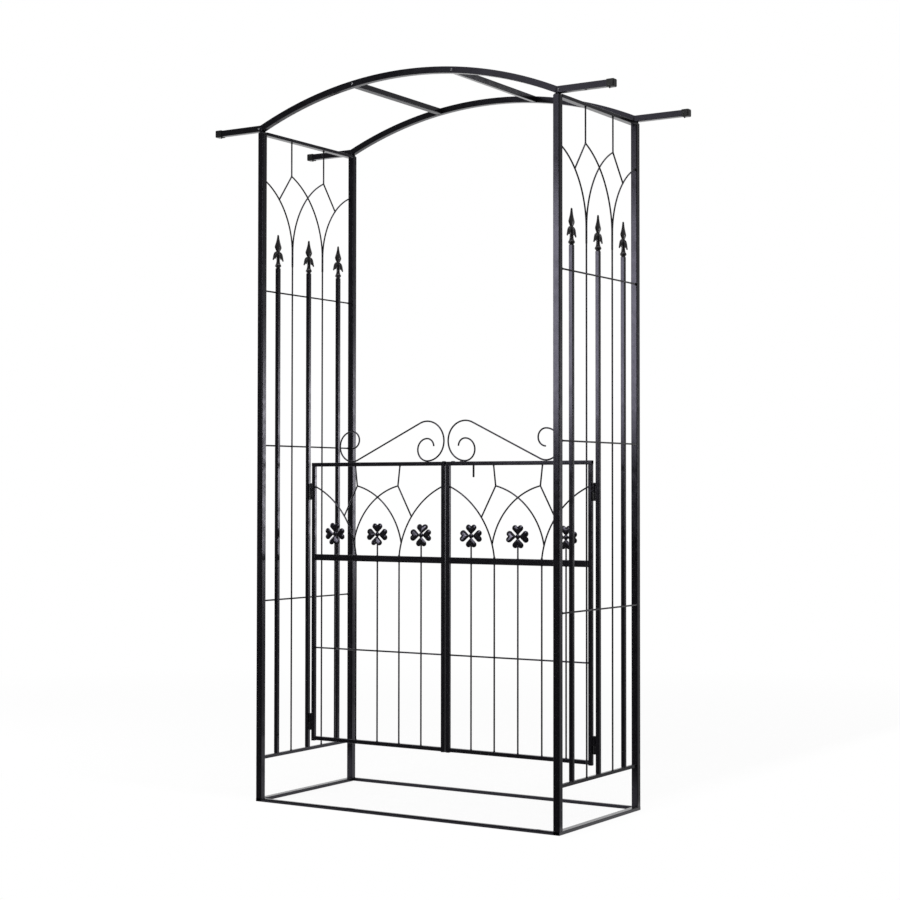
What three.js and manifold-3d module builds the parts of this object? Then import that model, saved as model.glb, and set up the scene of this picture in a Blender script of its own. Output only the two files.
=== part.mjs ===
// Garden arch with a pair of gate leaves, in powder-coated steel.
// Millimetres, +Z up, the front towards -Y, the origin on the ground under the middle of the arch.
import * as THREE from 'three';
import { mergeVertices } from 'three/addons/utils/BufferGeometryUtils.js';
import Module from 'manifold-3d';

// Fit between pieces that are welded, screwed or laid together, and the overrun of a cutting tool.
const fitGap = 0.3;
const cutOverrun = 1;

// Points closer than this are one point; segments of a half of each rounded tube corner.
const samePoint = 1e-4;
const cornerSteps = 1;

// Posts and the spaces between the bars of a side panel.
const postSpan = 1020;
const panelBarPitch = 78;
const panelSpaces = 6;
const postSize = 20;
const postWall = 1.2;
const postInnerCorner = 1;
const springHeight = 2016;

// Arched beams with their arms, the caps on the arms and the bars between the two beams.
const archTube = 18.5;
const archWall = 1.2;
const archInnerCorner = 0.4;
const archRise = 107.5;
const archSteps = 18;
const armReach = 176;
const capWall = 1.2;
const capEnd = 1.5;
const capLength = 22;
const crossbarTube = 17;
const crossbarSpacing = 344;

// Flat bars at the top and foot of each panel, as wide as the posts, and the slim square bars.
const flatBarHeight = 10;
const slimBar = 10;
const slimWall = 1;
const slimInnerCorner = 0.2;
const lowRailHeight = 130;

// Round wires: the straight ones, and the thinner ones of the tracery.
const wireDiameter = 4.5;
const traceryDiameter = 4;
const wireSides = 6;
const weldDepth = 0.5;
const crossWireDrop = 73;
const crossWireCount = 3;

// Tracery at the top of a side panel: the drop from the post tops to the springing of its arcs, their
// radii, and how far the knots and the feet of the diagonals lie from the middle.
const panelSpringDrop = 356;
const panelOuterRadius = 232;
const panelInnerRadius = 264;
const panelKnotOffset = 83;
const panelFootOffset = 145;
const panelArcSteps = 8;

// Spears, square tubes which end below the springing of the tracery, and their cast finials.
const spearBar = 12;
const spearDrop = 50;
const finialHeight = 98;
const finialWidth = 30;
const finialDepth = 10;
const finialBall = 17.8;
const finialLeafReach = 25.4;
const finialLeafBreadth = 21;
const finialLeafThickness = 5;
const finialSides = 8;
const finialHeadSides = 4;
const finialLeafSides = 6;

// Gate leaves: the bars, the gaps beside them, the heights of the middles of the top and bottom rails,
// and the height of the band between the middles of the middle and top rails.
const leafGap = 5;
const hingeGap = 12;
const gateBar = 12;
const gateWall = 1;
const gateInnerCorner = 0.4;
const gateTopHeight = 1012;
const gateBandHeight = 287;
const gateBottomHeight = 165;
const midRailHeight = 19;
const stileFoot = 2;
const gateSpaces = 6;

// Tracery of a gate leaf. Drops are measured down from the middle of the top rail, except the springing's,
// which is below the middle of the middle rail; the landings rise above it.
const gateSpringDrop = 19;
const gateOuterArcDrop = 68.5;
const gateInnerRadius = 216;
const gateKnotDrop = 66;
const gateKnotOffset = 75;
const gateStemOffset = 82;
const gateFootOffset = 124;
const gateLandingRise = 49;
const gateArcSteps = 7;
const gateCrossWireSides = 8;

// Clovers on the three stems of each leaf.
const cloverRise = 73.5;
const cloverSize = 66;
const cloverThickness = 6;
const cloverBevel = 1.6;
const cloverHub = 12;
const cloverLeaves = 4;
const cloverCurveSteps = 2;
const cloverSeatSteps = 24;

// Scroll on the top rail of each leaf.
const scrollBigRadius = 59.5;
const scrollBigInset = 7.5;
const scrollSmallRadius = 46;
const scrollSmallInset = 151;
const scrollCurlRadius = 33.5;
const scrollTipRadius = 23.5;
const scrollSmallCurlRadius = 26;
const scrollSteps = 7;

// Barrel hinges in the gap between a spear and a leaf.
const hingePin = 6;
const hingeBarrelGap = 0.5;
const hingeLength = 50;
const hingeSplit = 0.6;
const hingeWeb = 6;
const hingeBoreGap = 0.4;
const hingePinHead = 2;
const hingeUpperDrop = 84;
const hingeLowerRise = 49;
const barrelSides = 12;

// Sliding bolt behind the top rails.
const boltDiameter = 6;
const boltGap = 0.4;
const boltTip = 5;
const boltHandleOffset = 89;
const boltHandleDrop = 41;
const boltBendRadius = 7;
const boltBendSteps = 4;
const boltSides = 8;
const stapleWall = 2;
const stapleLength = 8;
const stapleRise = 2.5;
const stapleOffsets = [18, 48];
const keeperOffset = 14;

// What follows from the sizes above.
const panelDepth = panelBarPitch * panelSpaces;
const postX = postSpan / 2;
const postY = panelDepth / 2;
const postHalf = postSize / 2;
const postCorner = postWall + postInnerCorner;
const archCorner = archWall + archInnerCorner;
const slimCorner = slimWall + slimInnerCorner;
const gateCorner = gateWall + gateInnerCorner;
const slimHalf = slimBar / 2;
const spearHalf = spearBar / 2;
const gateHalf = gateBar / 2;
const wireRadius = wireDiameter / 2;
const boltRadius = boltDiameter / 2;
const panelReach = postY - postHalf;
const meetingStileOffset = leafGap / 2 + gateHalf;
const hingeStileOffset = postX - spearHalf - hingeGap - gateHalf;
const hingeAxisOffset = postX - spearHalf - hingeGap / 2;
const gatePitch = (hingeStileOffset - meetingStileOffset) / gateSpaces;
const leafCentre = (hingeStileOffset + meetingStileOffset) / 2;
const gateRailTop = gateTopHeight + gateHalf;
const gateMidHeight = gateTopHeight - gateBandHeight;
const cloverHeight = gateMidHeight + cloverRise;
const panelSpringHeight = springHeight - panelSpringDrop;
const spearTop = panelSpringHeight - spearDrop;
const crossWirePitch = (spearTop - crossWireDrop - lowRailHeight) / crossWireCount;
const hingeBarrel = hingeGap - 2 * hingeBarrelGap;

// Materials: powder coat, painted castings, plastic caps and the steel of hinges and bolt.
const coat = new THREE.MeshStandardMaterial({ color: 0x17171b, roughness: 0.42, metalness: 0.35 });
const casting = new THREE.MeshStandardMaterial({ color: 0x1b1b1e, roughness: 0.5, metalness: 0.4 });
const plastic = new THREE.MeshStandardMaterial({ color: 0x141416, roughness: 0.55, metalness: 0 });
const fittings = new THREE.MeshStandardMaterial({ color: 0x2a2a2e, roughness: 0.38, metalness: 0.8 });

const wasm = await Module();
wasm.setup();

const arch = new THREE.Group();

function addPiece(name, geometry, material, position = [0, 0, 0], parent = arch) {
  const mesh = new THREE.Mesh(geometry, material);
  mesh.name = name;
  mesh.position.set(...position);
  parent.add(mesh);
  return mesh;
}

// Solids and geometries

function toSolid(geometry) {
  const bare = geometry.clone();
  for (const attribute of ['normal', 'uv']) bare.deleteAttribute(attribute);
  const merged = mergeVertices(bare, samePoint);
  const mesh = new wasm.Mesh({
    numProp: 3,
    vertProperties: merged.attributes.position.array,
    triVerts: new Uint32Array(merged.index.array),
  });
  return new wasm.Manifold(mesh);
}

function toGeometry(solid) {
  const mesh = solid.getMesh();
  const geometry = new THREE.BufferGeometry();
  geometry.setAttribute('position', new THREE.BufferAttribute(mesh.vertProperties, 3));
  geometry.setIndex(new THREE.BufferAttribute(mesh.triVerts, 1));
  geometry.computeVertexNormals();
  return geometry;
}

function join(geometries) {
  const solids = geometries.map(toSolid);
  return toGeometry(solids.reduce((sum, solid) => sum.add(solid)));
}

function cut(geometry, tools) {
  return toGeometry(tools.map(toSolid).reduce((rest, tool) => rest.subtract(tool), toSolid(geometry)));
}

// A geometry from corners and triangles, turned to face outwards.
function facingOut(points, triangles) {
  const volume = triangles.reduce((sum, [a, b, c]) => {
    return sum + points[a].dot(points[b].clone().cross(points[c]));
  }, 0);
  const index = triangles.flatMap(([a, b, c]) => (volume < 0 ? [a, c, b] : [a, b, c]));
  const geometry = new THREE.BufferGeometry().setFromPoints(points);
  geometry.setIndex(index);
  geometry.computeVertexNormals();
  return geometry;
}

// Sections

function circleSection(diameter, sides) {
  return Array.from({ length: sides }, (_, i) => {
    const turn = ((i + 0.5) / sides) * Math.PI * 2;
    return new THREE.Vector2(Math.cos(turn), Math.sin(turn)).multiplyScalar(diameter / 2);
  });
}

function roundedShape(width, height, corner) {
  const shape = new THREE.Shape();
  const x = width / 2 - corner;
  const y = height / 2 - corner;
  shape.absarc(x, y, corner, 0, Math.PI / 2);
  shape.absarc(-x, y, corner, Math.PI / 2, Math.PI);
  shape.absarc(-x, -y, corner, Math.PI, Math.PI * 1.5);
  shape.absarc(x, -y, corner, Math.PI * 1.5, Math.PI * 2);
  return shape;
}

// An open rectangular tube along +Z, which starts at zero.
function tube(width, height, wall, corner, length) {
  const shape = roundedShape(width, height, corner);
  const inner = new THREE.Path();
  inner.moveTo(width / 2 - wall, height / 2 - wall);
  inner.lineTo(wall - width / 2, height / 2 - wall);
  inner.lineTo(wall - width / 2, wall - height / 2);
  inner.lineTo(width / 2 - wall, wall - height / 2);
  shape.holes.push(inner);
  return new THREE.ExtrudeGeometry(shape, { depth: length, bevelEnabled: false, curveSegments: cornerSteps });
}

// The same tube lying along X or Y, centred on the origin.
function tubeAlongX(height, depth, wall, corner, length) {
  return tube(height, depth, wall, corner, length).translate(0, 0, -length / 2).rotateY(Math.PI / 2);
}

function tubeAlongY(width, height, wall, corner, length) {
  return tube(width, height, wall, corner, length).translate(0, 0, -length / 2).rotateX(-Math.PI / 2);
}

// A round bar along Z between two heights.
function roundBar(diameter, from, to, sides, x = 0, y = 0) {
  const bar = new THREE.CylinderGeometry(diameter / 2, diameter / 2, to - from, sides);
  return bar.rotateX(Math.PI / 2).translate(x, y, (from + to) / 2);
}

function block(fromX, toX, fromY, toY, fromZ, toZ) {
  const box = new THREE.BoxGeometry(Math.abs(toX - fromX), toY - fromY, toZ - fromZ);
  return box.translate((fromX + toX) / 2, (fromY + toY) / 2, (fromZ + toZ) / 2);
}

// A section swept along a flat path with mitred corners. The section's first coordinate lies in the
// plane of the path and its second one across it; place() turns the three numbers into a point, and
// widths, if given, scale the first coordinate at each point of the path.
function sweep(path, section, place, hole = [], widths = []) {
  const outline = [...section, ...hole];
  const ringSize = outline.length;
  const points = [];
  const triangles = [];
  path.forEach((point, i) => {
    const before = (i > 0 ? point.clone().sub(path[i - 1]) : path[1].clone().sub(point)).normalize();
    const after = (i < path.length - 1 ? path[i + 1].clone().sub(point) : before.clone()).normalize();
    const along = before.clone().add(after).normalize();
    const stretch = (widths[i] ?? 1) / along.dot(before);
    for (const corner of outline) {
      const side = corner.x * stretch;
      points.push(place(point.x - along.y * side, point.y + along.x * side, corner.y));
    }
  });
  for (let i = 0; i < path.length - 1; i++) {
    for (const [start, count, turn] of [[0, section.length, 1], [section.length, hole.length, -1]]) {
      for (let j = 0; j < count; j++) {
        const a = i * ringSize + start + j;
        const b = i * ringSize + start + ((j + 1) % count);
        const faces = [[a, b, b + ringSize], [a, b + ringSize, a + ringSize]];
        triangles.push(...(turn > 0 ? faces : faces.map(([p, q, r]) => [p, r, q])));
      }
    }
  }
  const last = (path.length - 1) * ringSize;
  for (const [a, b, c] of THREE.ShapeUtils.triangulateShape(section, hole.length ? [hole] : [])) {
    triangles.push([a, c, b], [last + a, last + b, last + c]);
  }
  return facingOut(points, triangles);
}

// Points on an arc around (x, y) between two angles, both ends included.
function arcPoints(x, y, radius, from, to, steps) {
  return Array.from({ length: steps + 1 }, (_, i) => {
    const angle = from + ((to - from) * i) / steps;
    return new THREE.Vector2(x + radius * Math.cos(angle), y + radius * Math.sin(angle));
  });
}

// Posts

const archBottom = springHeight + fitGap;
const archMiddle = archBottom + archTube / 2;
const sides = [['left', -1], ['right', 1]];
const ends = [['front', -1], ['back', 1]];

for (const [sideName, side] of sides) {
  for (const [endName, end] of ends) {
    const length = springHeight - flatBarHeight - fitGap;
    const post = tube(postSize, postSize, postWall, postCorner, length);
    const foot = flatBarHeight + fitGap;
    addPiece(`post_${endName}_${sideName}`, post, coat, [side * postX, end * postY, foot]);
  }
}

// Arched beams

const cornerAngle = 2 * Math.atan(archRise / postX);
const archRadius = postX / Math.sin(cornerAngle);
const archCentre = archMiddle + archRise - archRadius;
const armTip = postX + armReach - capEnd - fitGap;

function archPath() {
  const up = Math.PI / 2;
  return [
    new THREE.Vector2(-armTip, archMiddle),
    ...arcPoints(0, archCentre, archRadius, up + cornerAngle, up - cornerAngle, archSteps),
    new THREE.Vector2(armTip, archMiddle),
  ];
}

function squareSection(size, corner) {
  const points = roundedShape(size, size, corner).getPoints(cornerSteps);
  return points.filter((point, i) => i === 0 || point.distanceTo(points[i - 1]) > samePoint).slice(0, -1);
}

function squareHole(size) {
  const half = size / 2;
  return [[half, half], [-half, half], [-half, -half], [half, -half]].map(([x, y]) => new THREE.Vector2(x, y));
}

const upright = (x, z, y) => new THREE.Vector3(x, y, z);

for (const [endName, end] of ends) {
  const inner = squareHole(archTube - 2 * archWall);
  const beam = sweep(archPath(), squareSection(archTube, archCorner), upright, inner);
  addPiece(`arch_beam_${endName}`, beam, coat, [0, end * postY, 0]);
  for (const [sideName, side] of sides) {
    const outer = archTube + 2 * (fitGap + capWall);
    const pocket = archTube + 2 * fitGap;
    const body = tubeAlongX(outer, outer, capWall, archCorner, capLength);
    const half = pocket / 2 + capWall / 2;
    const plate = block(capLength / 2 - capEnd, capLength / 2, -half, half, -half, half);
    const cap = side > 0 ? join([body, plate]) : join([body, plate]).rotateZ(Math.PI);
    const x = side * (postX + armReach - capLength / 2);
    addPiece(`arm_cap_${endName}_${sideName}`, cap, plastic, [x, end * postY, archMiddle]);
  }
}

for (const [sideName, side] of sides) {
  const x = (side * crossbarSpacing) / 2;
  const z = archCentre + Math.sqrt(archRadius ** 2 - x ** 2);
  const length = panelDepth - archTube - 2 * fitGap;
  const bar = tubeAlongY(crossbarTube, crossbarTube, archWall, archCorner, length);
  const crossbar = addPiece(`crossbar_${sideName}`, bar, coat, [x, 0, z]);
  crossbar.rotation.y = Math.asin(x / archRadius);
}

// Rails and base bars

for (const [sideName, side] of sides) {
  const x = side * postX;
  const length = 2 * (panelReach - fitGap);
  const topRail = tubeAlongY(postSize, flatBarHeight, slimWall, slimCorner, length);
  addPiece(`top_rail_${sideName}`, topRail, coat, [x, 0, springHeight - flatBarHeight / 2]);
  const lowRail = tubeAlongY(slimBar, slimBar, slimWall, slimCorner, length);
  addPiece(`low_rail_${sideName}`, lowRail, coat, [x, 0, lowRailHeight]);
  const baseBar = tubeAlongY(postSize, flatBarHeight, slimWall, slimCorner, panelDepth + postSize);
  addPiece(`base_bar_${sideName}`, baseBar, coat, [x, 0, flatBarHeight / 2]);
}

for (const [endName, end] of ends) {
  const length = postSpan - postSize - 2 * fitGap;
  const bar = tubeAlongX(flatBarHeight, slimBar, slimWall, slimCorner, length);
  const y = end * (postY + postHalf - slimHalf);
  addPiece(`base_bar_${endName}`, bar, coat, [0, y, flatBarHeight / 2]);
}

// Spears and finials

const lowRailTop = lowRailHeight + slimHalf;

// A finial is a round foot with a ball and a neck, a flat four-sided head and a drooping leaf on either side.
// The points are shares of the ball's or the head's half width and of the height; a leaf's are shares of
// its reach and of the height, each with its share of the leaf's breadth.
const finialFootShares = [
  [0, 0], [0.72, 0], [0.74, 0.03], [1, 0.055], [1, 0.09], [0.88, 0.13], [0.78, 0.17], [0.65, 0.22], [0.62, 0.4], [0, 0.4],
];
const finialHeadShares = [
  [0, 0.17], [0.38, 0.24], [0.44, 0.4], [0.46, 0.48], [0.68, 0.52], [1, 0.62], [0.88, 0.67], [0.66, 0.73],
  [0.45, 0.81], [0.26, 0.89], [0.21, 0.95], [0.16, 1], [0, 1],
];
const finialLeafShares = [[0, 0.4], [0.46, 0.383], [0.68, 0.356], [0.84, 0.314], [0.96, 0.261], [1, 0.231]];
const finialLeafBreadthShares = [0.86, 1, 0.74, 0.53, 0.26, 0.19];

function finialGeometry() {
  const height = finialHeight - fitGap;
  const profile = (shares, width) => shares.map(([r, z]) => new THREE.Vector2((r * width) / 2, z * height));
  const foot = new THREE.LatheGeometry(profile(finialFootShares, finialBall), finialSides);
  const head = new THREE.LatheGeometry(profile(finialHeadShares, finialWidth), finialHeadSides);
  head.scale(finialDepth / finialWidth, 1, 1);
  const leaves = [-1, 1].map((way) => {
    const path = finialLeafShares.map(([y, z]) => new THREE.Vector2(y * finialLeafReach, z * height));
    const section = circleSection(1, finialLeafSides);
    const leafPlace = (y, z, x) => new THREE.Vector3(x * finialLeafThickness, way * y, z);
    return sweep(path, section, leafPlace, [], finialLeafBreadthShares.map((share) => share * finialLeafBreadth));
  });
  return join([foot.rotateX(Math.PI / 2), head.rotateX(Math.PI / 2), ...leaves]);
}

const spearPlaces = [['front', -1], ['middle', 0], ['back', 1]];

for (const [sideName, side] of sides) {
  for (const [placeName, place] of spearPlaces) {
    const y = place * 2 * panelBarPitch;
    const foot = lowRailTop + fitGap;
    const bar = tube(spearBar, spearBar, slimWall, slimCorner, spearTop - foot);
    addPiece(`spear_${placeName}_${sideName}`, bar, coat, [side * postX, y, foot]);
    addPiece(`finial_${placeName}_${sideName}`, finialGeometry(), casting, [side * postX, y, spearTop + fitGap]);
  }
}

// Wire grille of a side panel: cross wires on the outer faces of the spears, two upright wires welded
// behind them, and the tracery that springs from the upright wires.

const crossWireOffset = spearHalf + fitGap + wireRadius;
const uprightWireOffset = crossWireOffset - wireDiameter + weldDepth;
const topRailBottom = springHeight - flatBarHeight;

// Height of a point of an arc that springs upright at its foot and leans over by some distance.
function arcHeight(springing, radius, lean) {
  return springing + Math.sqrt(radius ** 2 - (radius - lean) ** 2);
}

// The part of such an arc from its foot to a given lean, away from the foot in the direction way.
function springingArc(foot, springing, radius, lean, way, steps) {
  const end = Math.acos(1 - lean / radius);
  return arcPoints(0, springing, radius, Math.PI, Math.PI - end, steps).map((point) => {
    return new THREE.Vector2(foot + way * (point.x + radius), point.y);
  });
}

// The lean at which such an arc ends when the whole of its square-cut end is to stay within a reach.
function leanWithin(reach, radius) {
  const half = traceryDiameter / 2;
  return (reach - half) / (1 - half / radius);
}

function sideGrille(side) {
  const thick = circleSection(wireDiameter, wireSides);
  const thin = circleSection(traceryDiameter, wireSides);
  const place = (y, z, across) => new THREE.Vector3(side * (uprightWireOffset + across), y, z);
  const straight = (from, to, section) => sweep([from, to], section, place);
  const pieces = [];
  for (let i = 0; i < crossWireCount; i++) {
    const z = lowRailHeight + (i + 1) * crossWirePitch;
    const reach = panelReach - fitGap;
    const outer = (y, height, across) => new THREE.Vector3(side * (crossWireOffset + across), y, height);
    pieces.push(sweep([new THREE.Vector2(-reach, z), new THREE.Vector2(reach, z)], thick, outer));
  }
  for (const way of [-1, 1]) {
    const foot = way * panelBarPitch;
    const knot = new THREE.Vector2(way * panelKnotOffset, 0);
    knot.y = arcHeight(panelSpringHeight, panelInnerRadius, panelKnotOffset + panelBarPitch);
    const footLean = panelFootOffset - panelBarPitch;
    const diagonalEnd = new THREE.Vector2(way * panelFootOffset, 0);
    diagonalEnd.y = arcHeight(panelSpringHeight, panelOuterRadius, footLean);
    const wireEnds = [lowRailTop + fitGap, panelSpringHeight + wireDiameter];
    pieces.push(straight(new THREE.Vector2(foot, wireEnds[0]), new THREE.Vector2(foot, wireEnds[1]), thick));
    const lean = leanWithin(panelReach - fitGap - panelBarPitch, panelOuterRadius);
    const arc = [foot, panelSpringHeight];
    pieces.push(sweep(springingArc(...arc, panelOuterRadius, lean, way, panelArcSteps), thin, place));
    const innerLean = panelKnotOffset + panelBarPitch;
    pieces.push(sweep(springingArc(...arc, panelInnerRadius, innerLean, -way, panelArcSteps), thin, place));
    pieces.push(straight(knot, new THREE.Vector2(knot.x, topRailBottom - fitGap), thin));
    pieces.push(straight(knot, diagonalEnd, thin));
  }
  return join(pieces);
}

for (const [sideName, side] of sides) {
  addPiece(`wire_grille_${sideName}`, sideGrille(side), coat, [side * postX, 0, 0]);
}

// Fixed halves of the hinges, with their pins, on the middle spears

const hingeHeights = [['upper', gateTopHeight - hingeUpperDrop], ['lower', gateBottomHeight + hingeLowerRise]];
const hingeHalf = hingeLength / 2;

for (const [sideName, side] of sides) {
  for (const [levelName, height] of hingeHeights) {
    const top = -hingeSplit / 2;
    const web = hingeWeb / 2;
    const spearFace = side * (hingeGap / 2 - fitGap);
    const pivot = join([
      roundBar(hingeBarrel, -hingeHalf, top, barrelSides),
      block(0, spearFace, -web, web, -hingeHalf, top),
      roundBar(hingePin, -hingeHalf, hingeHalf + hingePinHead, barrelSides),
    ]);
    addPiece(`hinge_pivot_${levelName}_${sideName}`, pivot, fittings, [side * hingeAxisOffset, 0, height]);
  }
}

// Gate leaves

const leafStart = leafGap / 2;
const leafEnd = hingeStileOffset + gateHalf;
const stileTop = gateTopHeight - gateHalf - fitGap;
const stileBottom = gateBottomHeight - gateHalf - stileFoot;
const betweenStiles = [meetingStileOffset + gateHalf + fitGap, hingeStileOffset - gateHalf - fitGap];
const midRailTop = gateMidHeight + midRailHeight / 2;
const gateWireHeight = (gateMidHeight + gateBottomHeight) / 2;
const boltY = gateHalf + fitGap + stapleWall + boltGap + boltRadius;

function hingeStile(side) {
  const bar = tube(gateBar, gateBar, gateWall, gateCorner, stileTop - stileBottom);
  bar.translate(side * hingeStileOffset, 0, stileBottom);
  const axis = side * hingeAxisOffset;
  const knuckles = hingeHeights.flatMap(([, height]) => {
    const bottom = height + hingeSplit / 2;
    const stileFace = side * (leafEnd - gateWall / 2);
    return [
      roundBar(hingeBarrel, bottom, height + hingeHalf, barrelSides, axis),
      block(stileFace, axis, -hingeWeb / 2, hingeWeb / 2, bottom, height + hingeHalf),
    ];
  });
  const bores = hingeHeights.map(([, height]) => {
    const bore = hingePin + 2 * hingeBoreGap;
    return roundBar(bore, height - cutOverrun, height + hingeHalf + cutOverrun, barrelSides, axis);
  });
  return cut(join([bar, ...knuckles]), bores);
}

// A staple around the bolt, as a block with a square way through it along X.
function staple(x) {
  const way = boltRadius + boltGap;
  const from = gateHalf - gateWall / 2;
  const to = boltY + way + stapleWall;
  const half = stapleLength / 2;
  const body = block(x - half, x + half, from, to, gateTopHeight - gateHalf, gateRailTop + stapleRise);
  const reach = half + cutOverrun;
  const hole = block(x - reach, x + reach, boltY - way, boltY + way, gateTopHeight - way, gateTopHeight + way);
  return cut(body, [hole]);
}

function gateTopRail(side) {
  const length = leafEnd - leafStart;
  const rail = tubeAlongX(gateBar, gateBar, gateWall, gateCorner, length);
  rail.translate(side * (leafStart + length / 2), 0, gateTopHeight);
  const offsets = side > 0 ? stapleOffsets : [-keeperOffset];
  return join([rail, ...offsets.map(staple)]);
}

function gateMidRail(side) {
  const [from, to] = betweenStiles;
  const rail = tubeAlongX(midRailHeight, gateBar, gateWall, gateCorner, to - from);
  rail.translate(side * leafCentre, 0, gateMidHeight);
  const holes = wireOffsets.map((offset) => {
    const reach = midRailHeight / 2 + cutOverrun;
    const bore = wireDiameter + 2 * fitGap;
    return roundBar(bore, gateMidHeight - reach, gateMidHeight + reach, boltSides, side * offset);
  });
  return cut(rail, holes);
}

function gateBottomRail(side) {
  const [from, to] = betweenStiles;
  const rail = tubeAlongX(gateBar, gateBar, gateWall, gateCorner, to - from);
  return rail.translate(side * leafCentre, 0, gateBottomHeight);
}

const wireOffsets = Array.from({ length: gateSpaces - 1 }, (_, i) => meetingStileOffset + (i + 1) * gatePitch);

// The centre of a circle through two points, on the side that lies lower.
function circleCentre(from, to, radius) {
  const middle = from.clone().add(to).multiplyScalar(0.5);
  const along = to.clone().sub(from);
  const rise = Math.sqrt(radius ** 2 - along.lengthSq() / 4);
  const down = new THREE.Vector2(along.y, -along.x).normalize();
  return middle.addScaledVector(down, Math.sign(-down.y) * rise);
}

function arcBetween(from, to, radius, steps) {
  const centre = circleCentre(from, to, radius);
  const start = from.clone().sub(centre).angle();
  const turn = to.clone().sub(centre).angle() - start;
  const shortTurn = Math.atan2(Math.sin(turn), Math.cos(turn));
  return arcPoints(centre.x, centre.y, radius, start, start + shortTurn, steps);
}

// Outline of a clover's heart-shaped petal, as shares of its length from the clover's middle.
const heartShares = {
  tip: [0, 0.19],
  sideBend: [0.49, 0.68],
  side: [0.49, 0.775],
  shoulderBend: [0.49, 1],
  shoulder: [0.27, 1],
  notchBend: [0.08, 1],
  notch: [0, 0.84],
};

// How far below a clover's middle a stem can reach into the notch of its lowest petal.
function cloverSeat() {
  const length = cloverSize / 2 - cloverBevel;
  const ends = [heartShares.shoulder, heartShares.notchBend, heartShares.notch];
  const curve = new THREE.QuadraticBezierCurve(...ends.map(([x, y]) => new THREE.Vector2(x * length, y * length)));
  const near = curve.getPoints(cloverSeatSteps).filter((point) => point.x < wireRadius + cloverBevel);
  const depths = near.map((point) => {
    const aside = Math.max(0, point.x - wireRadius);
    return point.y + Math.sqrt(cloverBevel ** 2 - aside ** 2);
  });
  return Math.max(...depths);
}

// The radius of an arc that springs upright at height zero and leans over by reach between two heights.
function springingRadius(low, high, reach) {
  return Math.hypot(low, ((high ** 2 - low ** 2) / reach + reach) / 2);
}

// Wires of a leaf: five upright ones, one cross wire, and the tracery above the middle rail.
function gateWires(side) {
  const thick = circleSection(wireDiameter, wireSides);
  const thin = circleSection(traceryDiameter, wireSides);
  const place = (offset, z, y) => new THREE.Vector3(side * offset, y, z);
  const bottom = gateBottomHeight + gateHalf + fitGap;
  const stemTop = cloverHeight - cloverSeat() - fitGap;
  const tops = [stemTop, midRailTop + wireDiameter, stemTop, midRailTop + wireDiameter, stemTop];
  const pieces = wireOffsets.map((offset, i) => {
    return sweep([new THREE.Vector2(offset, bottom), new THREE.Vector2(offset, tops[i])], thick, place);
  });
  const [from, to] = betweenStiles;
  const crossWire = [new THREE.Vector2(from, gateWireHeight), new THREE.Vector2(to, gateWireHeight)];
  pieces.push(sweep(crossWire, circleSection(wireDiameter, gateCrossWireSides), place));
  const springing = gateMidHeight - gateSpringDrop;
  const reach = (to - from) / 2 - gatePitch;
  const radius = springingRadius(midRailTop - springing, gateTopHeight - gateOuterArcDrop - springing, reach);
  for (const way of [-1, 1]) {
    const foot = leafCentre + way * gatePitch;
    const knot = new THREE.Vector2(leafCentre + way * gateKnotOffset, gateTopHeight - gateKnotDrop);
    const stemEnd = new THREE.Vector2(leafCentre + way * gateStemOffset, gateTopHeight - gateHalf - fitGap);
    const stem = stemEnd.clone().sub(knot);
    stemEnd.addScaledVector(stem, (-Math.abs(stem.x) * traceryDiameter) / (2 * stem.y * stem.length()));
    const low = Math.asin((midRailTop - springing) / radius);
    const footShift = radius * (1 - Math.cos(low));
    const lean = leanWithin(reach + footShift, radius);
    const high = Math.acos(1 - lean / radius);
    const outerArc = arcPoints(0, springing, radius, Math.PI - low, Math.PI - high, gateArcSteps);
    const outerPath = outerArc.map((point) => {
      return new THREE.Vector2(foot + way * (point.x + radius - footShift), point.y);
    });
    pieces.push(sweep(outerPath, thin, place));
    const footLean = gateFootOffset - gatePitch + footShift;
    const footHeight = arcHeight(springing, radius, footLean);
    pieces.push(sweep([knot, new THREE.Vector2(leafCentre + way * gateFootOffset, footHeight)], thin, place));
    pieces.push(sweep([knot, stemEnd], thin, place));
    const landingHeight = gateMidHeight + gateLandingRise;
    const landingLean = radius - Math.sqrt(radius ** 2 - (landingHeight - springing) ** 2) - footShift;
    const landing = new THREE.Vector2(leafCentre - way * (gatePitch + landingLean), landingHeight);
    pieces.push(sweep(arcBetween(knot, landing, gateInnerRadius, gateArcSteps), thin, place));
  }
  return join(pieces);
}

// A pressed clover: four domed heart shapes with their points at a small hub.
function cloverGeometry() {
  const length = cloverSize / 2 - cloverBevel;
  const at = (name, way) => [way * heartShares[name][0] * length, heartShares[name][1] * length];
  const heart = new THREE.Shape();
  heart.moveTo(...at('tip', 1));
  heart.quadraticCurveTo(...at('sideBend', 1), ...at('side', 1));
  heart.quadraticCurveTo(...at('shoulderBend', 1), ...at('shoulder', 1));
  heart.quadraticCurveTo(...at('notchBend', 1), ...at('notch', 1));
  heart.quadraticCurveTo(...at('notchBend', -1), ...at('shoulder', -1));
  heart.quadraticCurveTo(...at('shoulderBend', -1), ...at('side', -1));
  heart.quadraticCurveTo(...at('sideBend', -1), ...at('tip', 1));
  const depth = cloverThickness - 2 * cloverBevel;
  const bevel = { bevelThickness: cloverBevel, bevelSize: cloverBevel, bevelSegments: 1 };
  const petals = Array.from({ length: cloverLeaves }, (_, i) => {
    const petal = new THREE.ExtrudeGeometry(heart, { depth, curveSegments: cloverCurveSteps, ...bevel });
    petal.translate(0, 0, -depth / 2).rotateX(Math.PI / 2);
    return petal.rotateY((i / cloverLeaves) * Math.PI * 2);
  });
  const hub = new THREE.CylinderGeometry(cloverHub / 2, cloverHub / 2, cloverThickness - cloverBevel, boltSides);
  return join([hub, ...petals]);
}

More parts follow.
